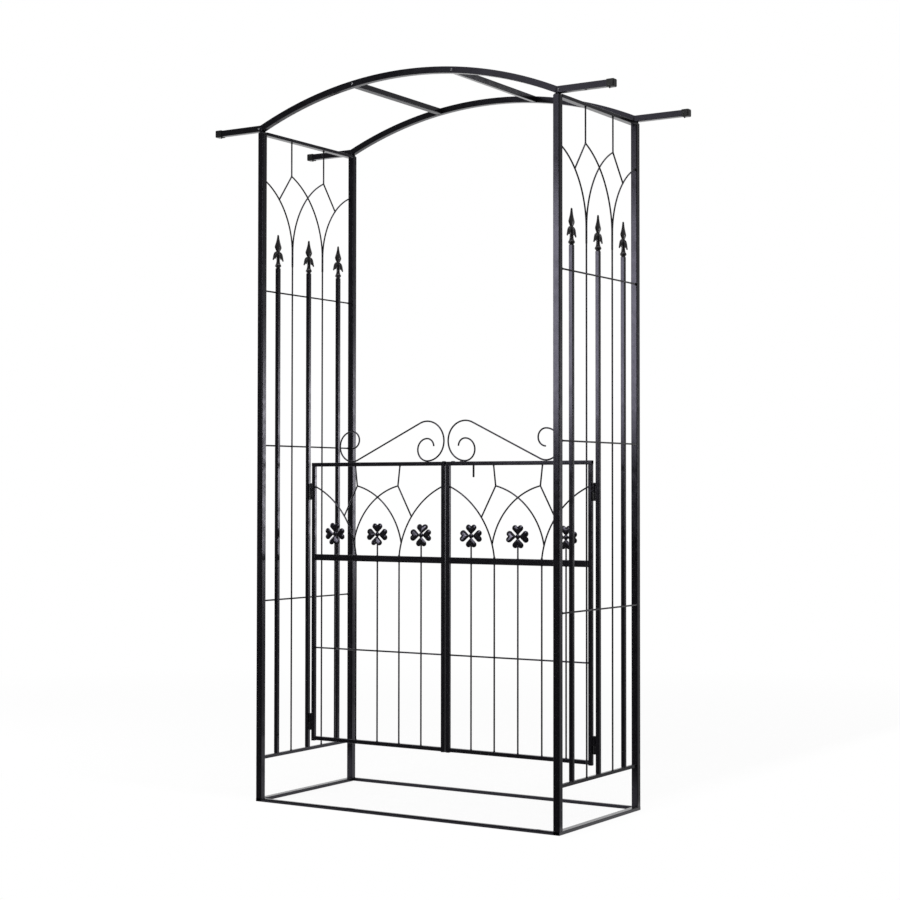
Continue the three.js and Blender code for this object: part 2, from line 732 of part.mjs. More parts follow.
// The scroll's middle line: a curl, a large half circle, a straight run and a small curl.
function scrollPath() {
  const bottom = gateRailTop + fitGap + wireRadius;
  const big = new THREE.Vector2(scrollBigRadius + scrollBigInset, bottom + scrollBigRadius);
  const small = new THREE.Vector2(leafEnd - scrollSmallInset, bottom + scrollSmallRadius);
  const apart = small.clone().sub(big);
  const tilt = Math.asin((scrollBigRadius + scrollSmallRadius) / apart.length());
  const slope = Math.atan2(apart.y, apart.x) - tilt;
  const quarter = Math.PI / 2;
  const curl = [big.x, bottom + scrollCurlRadius];
  const tip = [big.x, bottom + 2 * scrollCurlRadius - scrollTipRadius];
  const smallCurl = [small.x, bottom + 2 * scrollSmallRadius - scrollSmallCurlRadius];
  return [
    ...arcPoints(...tip, scrollTipRadius, 2 * quarter, quarter, scrollSteps).slice(0, -1),
    ...arcPoints(...curl, scrollCurlRadius, quarter, -quarter, scrollSteps).slice(0, -1),
    ...arcPoints(big.x, big.y, scrollBigRadius, 3 * quarter, quarter + slope, 2 * scrollSteps),
    ...arcPoints(small.x, small.y, scrollSmallRadius, slope - quarter, quarter, 2 * scrollSteps).slice(0, -1),
    ...arcPoints(...smallCurl, scrollSmallCurlRadius, quarter, 3 * quarter, scrollSteps),
  ];
}

// The bolt lies in the staples behind the right top rail, and its end hangs down as the handle.
function latchBolt() {
  const bend = arcPoints(
    boltHandleOffset - boltBendRadius,
    gateTopHeight - boltBendRadius,
    boltBendRadius,
    Math.PI / 2,
    0,
    boltBendSteps,
  );
  const path = [
    new THREE.Vector2(boltTip, gateTopHeight),
    ...bend,
    new THREE.Vector2(boltHandleOffset, gateTopHeight - boltHandleDrop),
  ];
  return sweep(path, circleSection(boltDiameter, boltSides), upright);
}

for (const [sideName, side] of sides) {
  const leaf = new THREE.Group();
  arch.add(leaf);
  const add = (name, geometry, material, position) => {
    return addPiece(`${name}_${sideName}`, geometry, material, position, leaf);
  };
  add('gate_hinge_stile', hingeStile(side), coat);
  const stile = tube(gateBar, gateBar, gateWall, gateCorner, stileTop - stileBottom);
  add('gate_meeting_stile', stile, coat, [side * meetingStileOffset, 0, stileBottom]);
  add('gate_top_rail', gateTopRail(side), coat);
  add('gate_mid_rail', gateMidRail(side), coat);
  add('gate_bottom_rail', gateBottomRail(side), coat);
  add('gate_wires', gateWires(side), coat);
  const place = (offset, z, y) => new THREE.Vector3(side * offset, y, z);
  add('gate_scroll', sweep(scrollPath(), circleSection(wireDiameter, wireSides), place), coat);
  wireOffsets.filter((_, i) => i % 2 === 0).forEach((offset, i) => {
    add(`clover_${i + 1}`, cloverGeometry(), coat, [side * offset, 0, cloverHeight]);
  });
  if (side > 0) {
    addPiece('latch_bolt', latchBolt(), fittings, [0, boltY, 0], leaf);
  }
}

export default arch;
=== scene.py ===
"""Looks of the garden arch with its pair of gate leaves: powder-coated steel tube and wire, cast finials,
pressed clovers, barrel hinges and a sliding bolt, on a pale studio floor.

Shapes are worked out in millimetres, with the front towards -Y, and turned to metres where a mesh is made.
"""
from itertools import product
from math import acos, asin, atan, atan2, cos, hypot, pi, radians, sin, sqrt

import bmesh
import bpy
import numpy as np
from mathutils import Matrix, Vector, noise
from mathutils.geometry import delaunay_2d_cdt


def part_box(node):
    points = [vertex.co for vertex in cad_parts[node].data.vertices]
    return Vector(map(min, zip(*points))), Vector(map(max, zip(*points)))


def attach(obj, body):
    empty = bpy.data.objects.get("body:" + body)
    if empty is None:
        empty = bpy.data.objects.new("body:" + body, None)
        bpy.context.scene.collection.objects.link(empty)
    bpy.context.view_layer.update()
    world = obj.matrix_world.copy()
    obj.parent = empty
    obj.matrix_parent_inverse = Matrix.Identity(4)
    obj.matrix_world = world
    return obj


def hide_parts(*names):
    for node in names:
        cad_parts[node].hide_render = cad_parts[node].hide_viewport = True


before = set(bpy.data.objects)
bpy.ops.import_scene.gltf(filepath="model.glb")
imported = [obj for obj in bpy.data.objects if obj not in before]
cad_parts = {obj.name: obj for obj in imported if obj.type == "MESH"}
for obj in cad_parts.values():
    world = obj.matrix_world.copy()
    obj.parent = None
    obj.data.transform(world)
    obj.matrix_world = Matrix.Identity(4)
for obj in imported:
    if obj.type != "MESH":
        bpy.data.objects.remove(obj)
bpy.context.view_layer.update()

MM = 0.001
X, Y, Z = np.eye(3)
# The gap between pieces, and how finely corners and wires are cut.
FIT = 0.3
CORNER_STEPS, WIRE_SIDES = 5, 16


# Camera: the photograph's place, direction and angle of view.

CAMERA_PLACE = (2.9584, -4.6343, 0.9295)
CAMERA_YAW, CAMERA_PITCH, CAMERA_ROLL = 0.566006, 0.022385, 0.001032
CAMERA_LENS, CAMERA_SENSOR = 73.995, 36


def placed(name, data):
    made = bpy.data.objects.new(name, data)
    bpy.context.scene.collection.objects.link(made)
    return made


def make_camera():
    data = bpy.data.cameras.new("camera")
    data.sensor_width = CAMERA_SENSOR
    data.lens = CAMERA_LENS
    data.clip_start, data.clip_end = 0.05, 200
    camera = placed("camera", data)
    turns = ((CAMERA_YAW, "Z"), (pi / 2 + CAMERA_PITCH, "X"), (CAMERA_ROLL, "Z"))
    yaw, pitch, roll = (Matrix.Rotation(angle, 4, axis) for angle, axis in turns)
    camera.matrix_world = Matrix.Translation(CAMERA_PLACE) @ yaw @ pitch @ roll
    bpy.context.scene.camera = camera


# Materials. Each is built from noise in the object's own coordinates.

def node(tree, kind, **settings):
    made = tree.nodes.new("ShaderNode" + kind)
    for key, value in settings.items():
        if key in made.inputs:
            made.inputs[key].default_value = value
        else:
            setattr(made, key, value)
    return made


def noise_node(tree, coords, scale, detail=3.0, roughness=0.55):
    made = node(tree, "TexNoise", Scale=scale, Detail=detail, Roughness=roughness)
    tree.links.new(coords, made.inputs["Vector"])
    return made.outputs["Fac"]


def spread(tree, value, low, high, to_low=0, to_high=1):
    """The value's range low..high mapped to to_low..to_high, and held at its ends."""
    made = node(tree, "MapRange")
    made.clamp = True
    for socket, number in zip(made.inputs[1:5], (low, high, to_low, to_high)):
        socket.default_value = number
    tree.links.new(value, made.inputs[0])
    return made.outputs[0]


def mix_colour(tree, factor, first, second):
    made = tree.nodes.new("ShaderNodeMix")
    made.data_type = "RGBA"
    tree.links.new(factor, made.inputs[0])
    for socket, colour in zip((made.inputs[6], made.inputs[7]), (first, second)):
        if isinstance(colour, tuple):
            socket.default_value = (*colour, 1)
        else:
            tree.links.new(colour, socket)
    return made.outputs[2]


def combine(tree, operation, first, second):
    made = node(tree, "Math", operation=operation)
    tree.links.new(first, made.inputs[0])
    tree.links.new(second, made.inputs[1])
    return made.outputs[0]


def axes(tree, vector):
    made = node(tree, "SeparateXYZ")
    tree.links.new(vector, made.inputs[0])
    return made.outputs


def new_material(name, settings):
    material = bpy.data.materials.new(name)
    material.use_nodes = True
    shader = material.node_tree.nodes["Principled BSDF"]
    for key, value in settings.items():
        shader.inputs[key].default_value = value
    return material, material.node_tree, shader


# Scales of the patterns of noise.
CLOUD_SCALE, SPECK_SCALE, DUST_SCALE, SMEAR_SCALE, SWELL_SCALE = 9, 420, 60, 34, 55
SPECK_GAIN = 2.2


def coated(name, dark, light, dust, rough, grain, grain_depth, swell_depth, specular, metallic=0.0,
           tint=(1, 1, 1)):
    """A coated or cast surface: cloudy colour, dust on top, uneven gloss, fine and coarse relief."""
    settings = {"Metallic": metallic, "Specular IOR Level": specular, "Specular Tint": (*tint, 1)}
    material, tree, shader = new_material(name, settings)
    link = tree.links.new
    coords = node(tree, "TexCoord").outputs["Object"]

    clouds = noise_node(tree, coords, CLOUD_SCALE, 4)
    colour = mix_colour(tree, spread(tree, clouds, 0.3, 0.7), dark, light)
    normal = node(tree, "NewGeometry").outputs["Normal"]
    up = spread(tree, axes(tree, normal)["Z"], 0.5, 0.98)
    patches = spread(tree, noise_node(tree, coords, DUST_SCALE, 5, 0.65), 0.35, 0.75, 0.1, 0.55)
    colour = mix_colour(tree, combine(tree, "MULTIPLY", up, patches), colour, dust)
    specks = spread(tree, noise_node(tree, coords, SPECK_SCALE, 2, 0.7), 0.72, 0.8, 0, 0.25)
    colour = mix_colour(tree, specks, colour, tuple(SPECK_GAIN * c for c in light))
    link(colour, shader.inputs["Base Color"])

    smears = noise_node(tree, coords, SMEAR_SCALE, 5, 0.6)
    link(spread(tree, smears, 0.3, 0.7, rough - 0.05, rough + 0.06), shader.inputs["Roughness"])

    swell = node(tree, "Bump", Strength=0.5, Distance=swell_depth * MM)
    link(noise_node(tree, coords, SWELL_SCALE, 2), swell.inputs["Height"])
    relief = node(tree, "Bump", Strength=0.6, Distance=grain_depth * MM)
    link(noise_node(tree, coords, grain, 3), relief.inputs["Height"])
    link(swell.outputs[0], relief.inputs["Normal"])
    link(relief.outputs[0], shader.inputs["Normal"])
    return material


LAVENDER = (0.82, 0.79, 1.0)
# Each has a name, dark, light and dust colour, roughness, grain, depths of grain and swell, and specular.
MATERIALS = {
    "powder_coat": coated(
        "powder_coat_black", (0.006, 0.0055, 0.0065), (0.0095, 0.009, 0.0105), (0.04, 0.04, 0.042),
        0.17, 1500, 0.003, 0.012, 0.3, tint=LAVENDER),
    "casting": coated(
        "cast_iron_black", (0.006, 0.0052, 0.005), (0.015, 0.013, 0.012), (0.04, 0.037, 0.035),
        0.2, 700, 0.06, 0.2, 0.42, tint=(0.95, 0.92, 1.0)),
    "cap_plastic": coated(
        "cap_plastic_black", (0.006, 0.006, 0.0065), (0.010, 0.010, 0.0105), (0.05, 0.05, 0.05),
        0.3, 1300, 0.03, 0.03, 0.28),
    "fittings": coated(
        "fittings_steel", (0.012, 0.012, 0.014), (0.022, 0.021, 0.023), (0.05, 0.05, 0.05),
        0.3, 640, 0.05, 0.06, 0.4, metallic=0.25),
    "zinc": coated(
        "screw_zinc", (0.14, 0.14, 0.15), (0.22, 0.22, 0.23), (0.2, 0.2, 0.2),
        0.32, 900, 0.04, 0.05, 0.5, metallic=0.85),
}


# Shells of points in millimetres.

def vec(v):
    return np.asarray(v, float)


def unit(v):
    return vec(v) / np.linalg.norm(v)


def circle(diameter, sides=WIRE_SIDES):
    turns = (np.arange(sides) + 0.5) / sides * 2 * pi
    return np.column_stack((np.cos(turns), np.sin(turns))) * diameter / 2


def rounded(width, height, corner):
    """A rectangle with round corners, as points that run anticlockwise."""
    corner = max(0.05, min(corner, width / 2 - 0.01, height / 2 - 0.01))
    points = []
    for quarter, (sx, sy) in enumerate(((1, 1), (-1, 1), (-1, -1), (1, -1))):
        for step in range(CORNER_STEPS + 1):
            turn = (quarter + step / CORNER_STEPS) * pi / 2
            points.append((sx * (width / 2 - corner) + corner * cos(turn),
                           sy * (height / 2 - corner) + corner * sin(turn)))
    return np.array(points)


def square(size, corner):
    return rounded(size, size, corner)


def skin(rings, closed=False):
    """A shell over rings of equal count: a loop of rings, or rings with a face over each end."""
    count, size = len(rings), len(rings[0])
    faces = []
    for i in range(count if closed else count - 1):
        a, b = i * size, (i + 1) % count * size
        faces += [(a + j, a + (j + 1) % size, b + (j + 1) % size, b + j) for j in range(size)]
    if not closed:
        faces += [tuple(range(size))[::-1], tuple((count - 1) * size + j for j in range(size))]
    return np.concatenate(rings), faces


def sweep_rings(path, across, section, scales=None):
    """Rings of a section along a flat path, with mitred corners. The section's first number lies in the
    path's plane and its second one along across, which is square to the plane."""
    path = vec(path)
    steps = [unit(b - a) for a, b in zip(path, path[1:])]
    rings = []
    for i, point in enumerate(path):
        before, after = steps[max(i - 1, 0)], steps[min(i, len(steps) - 1)]
        along = unit(before + after)
        side = np.cross(across, along) / along.dot(before)
        scale = 1 if scales is None else scales[i]
        rings.append(point + scale * (np.outer(section[:, 0], side) + np.outer(section[:, 1], across)))
    return rings


def with_ends(path, lengths):
    """The path with points added at these lengths from both of its ends."""
    path = [vec(p) for p in path]
    first, last = unit(path[1] - path[0]), unit(path[-2] - path[-1])
    head = [path[0] + first * a for a in lengths]
    tail = [path[-1] + last * a for a in reversed(lengths)]
    return head + path[1:-1] + tail


CHAMFER = 0.35


def tube(path, across, width, height, corner, wall, chamfer=CHAMFER):
    """An open square tube: width lies in the path's plane, height along across."""
    outer = rounded(width, height, corner)
    inner = rounded(width - 2 * wall, height - 2 * wall, corner - wall)
    run = with_ends(path, [0, chamfer])
    shrink = 1 - 2 * chamfer / max(width, height)
    scales = [shrink] + [1] * (len(run) - 2) + [shrink]
    rings = sweep_rings(run, across, outer, scales) + sweep_rings(path, across, inner)[::-1]
    return skin(rings, closed=True)


def loft(origin, along, across, stations, closed=False):
    """Rings of the given sections at the given distances along a straight line."""
    side = np.cross(across, along)
    rings = []
    for distance, section in stations:
        middle = vec(origin) + vec(along) * distance
        rings.append(middle + np.outer(section[:, 0], side) + np.outer(section[:, 1], across))
    return skin(rings, closed)


def turned(origin, along, profile, sides=24):
    """A solid of revolution: profile holds (distance, radius) from end to end."""
    across = unit(np.cross(along, X if abs(np.dot(along, X)) < 0.9 else Y))
    return loft(origin, along, across, [(d, circle(2 * r, sides)) for d, r in profile])


def icosphere(level):
    bm = bmesh.new()
    bmesh.ops.create_icosphere(bm, subdivisions=level, radius=1)
    points = np.array([v.co for v in bm.verts])
    faces = [tuple(v.index for v in f.verts) for f in bm.faces]
    bm.free()
    return points, faces


BALL_POINTS, BALL_FACES = icosphere(3)
SMALL_POINTS, SMALL_FACES = icosphere(2)
SEAM_PITCH, SEAM_ROUGH = 1.3, 0.25
END_TURNS = np.radians((18, 42, 66, 90))


class Shape:
    """Closed shells gathered into one mesh."""

    def __init__(self, *shells):
        self.points, self.faces = [], []
        for shell in shells:
            self.add(shell)

    def add(self, shell):
        points, faces = shell
        start = len(self.points)
        self.points.extend(map(tuple, points))
        self.faces.extend(tuple(start + i for i in face) for face in faces)

    def drop(self, place, size, rough=0.16):
        """A drop of weld: a lumpy ellipsoid with these half axes."""
        place, seed = vec(place), Vector(place) * 0.37
        lumps = [1 + rough * noise.noise(Vector(p) * 1.7 + seed) for p in BALL_POINTS]
        self.add((place + BALL_POINTS * np.array(lumps)[:, None] * vec(size), BALL_FACES))

    def seam(self, start, end, radius):
        """A run of weld between two points, as overlapping ripples."""
        start, end = vec(start), vec(end)
        along = unit(end - start)
        length = np.linalg.norm(end - start)
        across = unit(np.cross(along, X if abs(along[0]) < 0.9 else Y))
        count = max(6, int(length / SEAM_PITCH) * 4)
        stations = []
        for i in range(count + 1):
            t = i / count
            d = t * length
            ripple = 0.86 + 0.14 * abs(sin(pi * d / SEAM_PITCH))
            wander = 1 + SEAM_ROUGH * noise.noise(Vector(start + along * d) * 0.21)
            taper = sin(pi * min(1, max(0.08, min(t, 1 - t) * length / radius)) / 2)
            stations.append((d, circle(2 * radius * ripple * wander * taper, 12)))
        self.add(loft(start, along, across, stations))

    def wire(self, path, across, diameter, sides=WIRE_SIDES):
        """A round wire with blunt round ends."""
        lengths = [diameter / 2 * 0.6 * (1 - cos(a)) for a in END_TURNS]
        ends = [sin(a) for a in END_TURNS]
        path = with_ends(path, lengths)
        scales = ends + [1] * (len(path) - 2 * len(ends)) + ends[::-1]
        self.add(skin(sweep_rings(path, across, circle(diameter, sides), scales)))


def mesh_of(name, shape, smooth):
    mesh = bpy.data.meshes.new(name)
    mesh.from_pydata([tuple(c * MM for c in p) for p in shape.points], [], shape.faces)
    bm = bmesh.new()
    bm.from_mesh(mesh)
    bmesh.ops.recalc_face_normals(bm, faces=bm.faces)
    bm.to_mesh(mesh)
    bm.free()
    mesh.shade_smooth()
    mesh.set_sharp_from_angle(angle=radians(smooth))
    return mesh


def piece(name, shape, body="frame", slot="powder_coat", nodes=(), smooth=34, material=None,
          weighted=True, place=None):
    """A new piece of the look, which rides on a body and stands for these CAD nodes."""
    mesh = shape if isinstance(shape, bpy.types.Mesh) else mesh_of(name, shape, smooth)
    if not mesh.materials:
        mesh.materials.append(MATERIALS[material or slot])
    made = placed(name, mesh)
    if place is not None:
        made.location = Vector(place) * MM
    if weighted:
        normals = made.modifiers.new("flats", "WEIGHTED_NORMAL")
        normals.keep_sharp = True
        normals.weight = 60
    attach(made, body)
    if nodes:
        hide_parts(*nodes)


# How pieces of round wire and of weld drops are shaded.
ROUND = {"smooth": 60, "weighted": False}


def stand_in(name, shape, body="frame", slot="powder_coat", **options):
    """The look of one CAD node."""
    piece(f"{name}_look", shape, body, slot, [name], **options)


def box_mm(name):
    low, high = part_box(name)
    return np.array(low) / MM, np.array(high) / MM


# Corner radii of the larger and the smaller bars, and the wall of the smaller ones.
TUBE_CORNER, BAR_CORNER, BAR_WALL = 1.6, 1.2, 1


def bar(name, axis, corner, body="frame", chamfer=CHAMFER):
    """A straight tube in the place of a CAD node, along one axis of its box."""
    low, high = box_mm(name)
    along = np.eye(3)[axis]
    across = np.eye(3)[1 if axis != 1 else 2]
    side = np.abs(np.cross(across, along))
    size = high - low
    middle, reach = (low + high) / 2, along * size / 2
    path = [middle - reach, middle + reach]
    shell = tube(path, across, size @ side, size @ across, corner, BAR_WALL, chamfer)
    stand_in(name, Shape(shell), body)


SIDES = (("left", -1), ("right", 1))
ENDS = (("front", -1), ("back", 1))
CORNERS = [(f"{end_name}_{side_name}", side, end)
           for (side_name, side), (end_name, end) in product(SIDES, ENDS)]

# Sizes of the frame, as in the CAD part.
POST_X, POST_Y, POST_HALF = 510, 234, 10
SPRING_Z = 2016
ARCH_TUBE, ARCH_WALL, ARCH_RISE, ARM_REACH = 18.5, 1.2, 107.5, 176
CROSSBAR_X, CROSSBAR_TUBE = 172, 17
FLAT_BAR, SLIM_HALF, LOW_RAIL_Z = 10, 5, 130
SPEAR_HALF = 6
ARCH_Z = SPRING_Z + FIT + ARCH_TUBE / 2
CORNER_ANGLE = 2 * atan(ARCH_RISE / POST_X)
ARCH_RADIUS = POST_X / sin(CORNER_ANGLE)
ARCH_CENTRE = ARCH_Z + ARCH_RISE - ARCH_RADIUS


def arch_z(x):
    return ARCH_CENTRE + sqrt(ARCH_RADIUS ** 2 - x ** 2)


# Posts, with their tops drawn in to a neck under the beams.

POST_WALL = 1.2
# The drawn top: distance above the start of the neck, and how much narrower than the post.
POST_NECK = ((0, 0), (0.9, 0.8), (1.7, 2.0), (2.3, 3.6), (4.7, 5.4))
# The neck's mouth: how much narrower, its depth, and the depth where the bore is full.
MOUTH_LESS, MOUTH_DEPTH, BORE_DEPTH = 7.4, 4, 5.5


def make_posts():
    width = 2 * POST_HALF
    bore = square(width - 2 * POST_WALL, 1.0)
    mouth = square(width - MOUTH_LESS, 1.2)
    for corner_name, side, end in CORNERS:
        name = f"post_{corner_name}"
        low, high = box_mm(name)
        length = high[2] - low[2]
        neck = length - POST_NECK[-1][0]
        stations = [(0, square(width - 0.6, 2)), (0.35, square(width, 2.2))]
        stations += [(neck + d, square(width - less, 2.3)) for d, less in POST_NECK]
        stations += [(length, mouth), (length - MOUTH_DEPTH, mouth), (length - BORE_DEPTH, bore), (0, bore)]
        shell = loft((side * POST_X, end * POST_Y, low[2]), Z, Y, stations, closed=True)
        stand_in(name, Shape(shell))


# Arched beams with the mitre welds at their corners, and the caps on the arms.

ARCH_STEPS = 72
# Rings of a mitre weld: distance past the corner, towards the arm, and share of the tube's size.
MITRE_WELD = ((-2.6, 0.965), (-1.9, 1.012), (-0.9, 1.035), (0, 1.045),
              (0.9, 1.035), (1.9, 1.012), (2.6, 0.965))
CAP_WALL, CAP_END = 1.2, 1.5
# A cap's mouth and nose: distance from that end, how much smaller, and corner radius.
CAP_MOUTH = ((0, 1.6, 1.2), (0, 0.6, 1.7), (0.4, 0, 2))
CAP_NOSE = ((2.2, 0, 2), (1.1, 0.5, 2.4), (0.35, 1.7, 2.8), (0, 3.8, 3))
# The pointed screw through a cap.
SCREW_PLACE, SCREW_SUNK = 5.5, 0.4
SCREW_POINT = ((-1, 3.4), (0.4, 3.4), (1.2, 2.9), (2.4, 1.8), (3.6, 0.9), (4.0, 0.3))
SCREW_FLAT = ((-1, 3.2), (0.15, 3.2), (0.35, 2.9))


def arch_path(y):
    tip = POST_X + ARM_REACH - CAP_END - FIT
    turns = np.linspace(-CORNER_ANGLE, CORNER_ANGLE, ARCH_STEPS + 1)
    arc = [(ARCH_RADIUS * sin(t), y, ARCH_CENTRE + ARCH_RADIUS * cos(t)) for t in turns]
    return [(-tip, y, ARCH_Z), *arc, (tip, y, ARCH_Z)]


def make_beams():
    for end_name, end in ENDS:
        y = end * POST_Y
        path = arch_path(y)
        shape = Shape(tube(path, Y, ARCH_TUBE, ARCH_TUBE, TUBE_CORNER, ARCH_WALL))
        for side, neighbour in ((-1, path[2]), (1, path[-3])):
            corner = np.array((side * POST_X, y, ARCH_Z))
            inward = unit(np.array(neighbour) - corner)
            run = [corner + (inward * -d if d < 0 else side * X * d) for d, _ in MITRE_WELD]
            outer = sweep_rings(run, Y, square(ARCH_TUBE, 1.8), [share for _, share in MITRE_WELD])
            inner = sweep_rings([run[0], run[-1]], Y, square(ARCH_TUBE - 1.6, 1))
            shape.add(skin(outer + inner[::-1], closed=True))
        stand_in(f"arch_beam_{end_name}", shape)


def make_caps():
    for corner_name, side, _ in CORNERS:
        name = f"arm_cap_{corner_name}"
        low, high = box_mm(name)
        start = (low + high) / 2
        start[0] = low[0] if side > 0 else high[0]
        along, length, size = side * X, high[0] - low[0], high[2] - low[2]
        pocket = square(size - 2 * CAP_WALL, 0.5)
        stations = [(length - CAP_END, pocket), (0.2, pocket)]
        stations += [(d, square(size - less, corner)) for d, less, corner in CAP_MOUTH]
        stations += [(length - d, square(size - less, corner)) for d, less, corner in CAP_NOSE]
        shape = Shape(loft(start, along, Y, stations))
        under = start + along * SCREW_PLACE - Z * (size / 2 - SCREW_SUNK)
        shape.add(turned(under, -Z, SCREW_POINT, 20))
        shape.add(turned(under + Z * (size - 2 * SCREW_SUNK), Z, SCREW_FLAT, 20))
        stand_in(name, shape, slot="cap_plastic")


def make_crossbars():
    for side_name, side in SIDES:
        name = f"crossbar_{side_name}"
        low, high = box_mm(name)
        x = side * CROSSBAR_X
        turn = asin(x / ARCH_RADIUS)
        across = np.array((cos(turn), 0, -sin(turn)))
        path = [(x, low[1], arch_z(x)), (x, high[1], arch_z(x))]
        shell = tube(path, across, CROSSBAR_TUBE, CROSSBAR_TUBE, TUBE_CORNER, ARCH_WALL)
        stand_in(name, Shape(shell))


# Sleeves over the front base bar, and their rings as (distance, height, depth, corner).
BASE_SPLICES = (-180, 453)
SPLICE_RINGS = ((-7, 9.6, 9.6, 1.2), (-6.6, 10, 10.4, 1.4), (6.6, 10, 10.4, 1.4), (7, 9.6, 9.6, 1.2))


def make_rails():
    for side_name, _ in SIDES:
        bar(f"top_rail_{side_name}", 1, BAR_CORNER)
        bar(f"low_rail_{side_name}", 1, BAR_CORNER)
        bar(f"base_bar_{side_name}", 1, BAR_CORNER, chamfer=0.8)
    for end_name, end in ENDS:
        name = f"base_bar_{end_name}"
        low, high = box_mm(name)
        y, z = (low[1] + high[1]) / 2, (low[2] + high[2]) / 2
        shape = Shape(tube([(low[0], y, z), (high[0], y, z)], Y, FLAT_BAR, FLAT_BAR, BAR_CORNER, BAR_WALL))
        if end < 0:
            stations = [(d, rounded(height, depth, corner)) for d, height, depth, corner in SPLICE_RINGS]
            for splice in BASE_SPLICES:
                shape.add(loft((splice, y + 0.1, z), X, Y, stations))
        stand_in(name, shape)


# Spears and their cast finials, which are drawn 5 mm taller than in the CAD part.

FINIAL_HEIGHT = 102.7
# The foot as (height, radius), and the head as (share of the height, half width, half thickness).
FINIAL_FOOT = [(0, 6.3), (2.3, 6.5), (3.0, 6.4), (3.8, 7.6), (5.0, 9.0), (6.6, 9.6), (8.4, 9.6), (9.8, 9.2),
               (11.4, 8.2), (13.2, 7.1), (15.4, 6.5), (18, 5.9), (21, 5.6), (24, 5.5), (28, 5.4), (34, 5.3),
               (40, 5.4), (43, 5.0)]
FINIAL_HEAD = [(0.28, 3.0, 2.0), (0.33, 5.2, 4.2), (0.38, 6.0, 4.6), (0.42, 6.4, 4.4), (0.46, 6.8, 4.0),
               (0.49, 7.6, 3.8), (0.52, 9.8, 3.9), (0.55, 12.4, 4.3), (0.58, 14.6, 4.9), (0.6, 15.8, 5.3),
               (0.62, 16.6, 5.6), (0.645, 16.4, 5.6), (0.673, 15.0, 5.3), (0.7, 13.6, 4.9),
               (0.733, 12.0, 4.4), (0.764, 10.4, 4.1), (0.79, 9.1, 3.8), (0.824, 7.8, 3.5),
               (0.855, 6.6, 3.4), (0.885, 5.4, 3.3), (0.94, 4.2, 3.0), (0.972, 3.6, 2.8),
               (0.99, 2.8, 2.4), (1.0, 1.8, 1.5)]
# The head's section lies between a diamond at 1 and an ellipse at 2.
HEAD_POWER, HEAD_SIDES = 1.7, 32
# Bumps round the knop of the foot.
KNOP_BUMPS, KNOP_RADIUS, KNOP_Z, KNOP_SIZE = 8, 7.4, 7.4, (1.8, 1.8, 3.2)
# Ribs of a leaf as (reach, height, radius), and the web between them as (reach, height).
LEAF_RIM = [(2.5, 47.2, 2.3), (7.6, 48.6, 2.5), (12.4, 47.8, 2.6), (16.4, 44.6, 2.7), (19.0, 40.4, 2.6),
            (20.8, 35.6, 2.5), (22.2, 30.8, 2.4), (23.6, 27.0, 2.4), (24.2, 25.0, 2.3)]
LEAF_VEINS = ([(4.5, 45.0, 1.5), (9.6, 42.4, 1.7), (12.6, 37.8, 1.7), (13.6, 32.6, 1.6), (13.0, 29.4, 1.3)],
              [(7.6, 45.6, 1.1), (13.6, 42.4, 1.3), (17.0, 37.2, 1.3), (18.4, 31.8, 1.2), (18.6, 28.2, 1.0)])
LEAF_WEB = [(1, 47), *(place[:2] for place in LEAF_RIM[1:7]), (22.6, 26), (19.6, 26.2), (16.2, 29.6),
            (12.4, 31.4), (8, 33), (1, 35)]
WEB_HALF, VEIN_LIFT = 1.5, 1.0
# The casting's surface: size of its cells, rounds of smoothing, and share of faces kept.
CELL, SMOOTHING, KEPT_FACES = 0.6, 3, 0.45
CURVE_STEPS = 4


def curve_through(points):
    """Points of a smooth curve through the given ones (Catmull-Rom), in any number of dimensions."""
    points = [vec(p) for p in points]
    padded = [2 * points[0] - points[1], *points, 2 * points[-1] - points[-2]]
    curve = []
    for a, b, c, d in zip(padded, padded[1:], padded[2:], padded[3:]):
        for t in np.arange(CURVE_STEPS) / CURVE_STEPS:
            curve.append(0.5 * (2 * b + (c - a) * t + (2 * a - 5 * b + 4 * c - d) * t ** 2
                                + (3 * b - a - 3 * c + d) * t ** 3))
    return curve + [points[-1]]


def rib(points, way, lift=0.0):
    """A round rib of a leaf, with its radius given at each point."""
    curve = curve_through(points)
    path = [(lift, way * y, z) for y, z, _ in curve]
    scales = [2 * radius for _, _, radius in curve]
    shell = Shape(skin(sweep_rings(path, X, circle(1, 14), scales)))
    for (x, y, z), scale in ((path[0], scales[0]), (path[-1], scales[-1])):
        shell.add((np.array((x, y, z)) + SMALL_POINTS * scale / 2, SMALL_FACES))
    return shell.points, shell.faces


def one_casting(shape):
    """The shells of a shape as a single surface, smoothed like a casting."""
    rough = mesh_of("finial", shape, 180)
    holder = placed("finial", rough)
    remesh = holder.modifiers.new("one_surface", "REMESH")
    remesh.mode = "VOXEL"
    remesh.voxel_size = CELL * MM
    soften = holder.modifiers.new("soften", "SMOOTH")
    soften.factor, soften.iterations = 0.5, SMOOTHING
    holder.modifiers.new("thin", "DECIMATE").ratio = KEPT_FACES
    mesh = bpy.data.meshes.new_from_object(holder.evaluated_get(bpy.context.evaluated_depsgraph_get()))
    bpy.data.objects.remove(holder)
    bpy.data.meshes.remove(rough)
    mesh.shade_smooth()
    mesh.name = "finial"
    mesh.materials.clear()
    mesh.materials.append(MATERIALS["casting"])
    return mesh


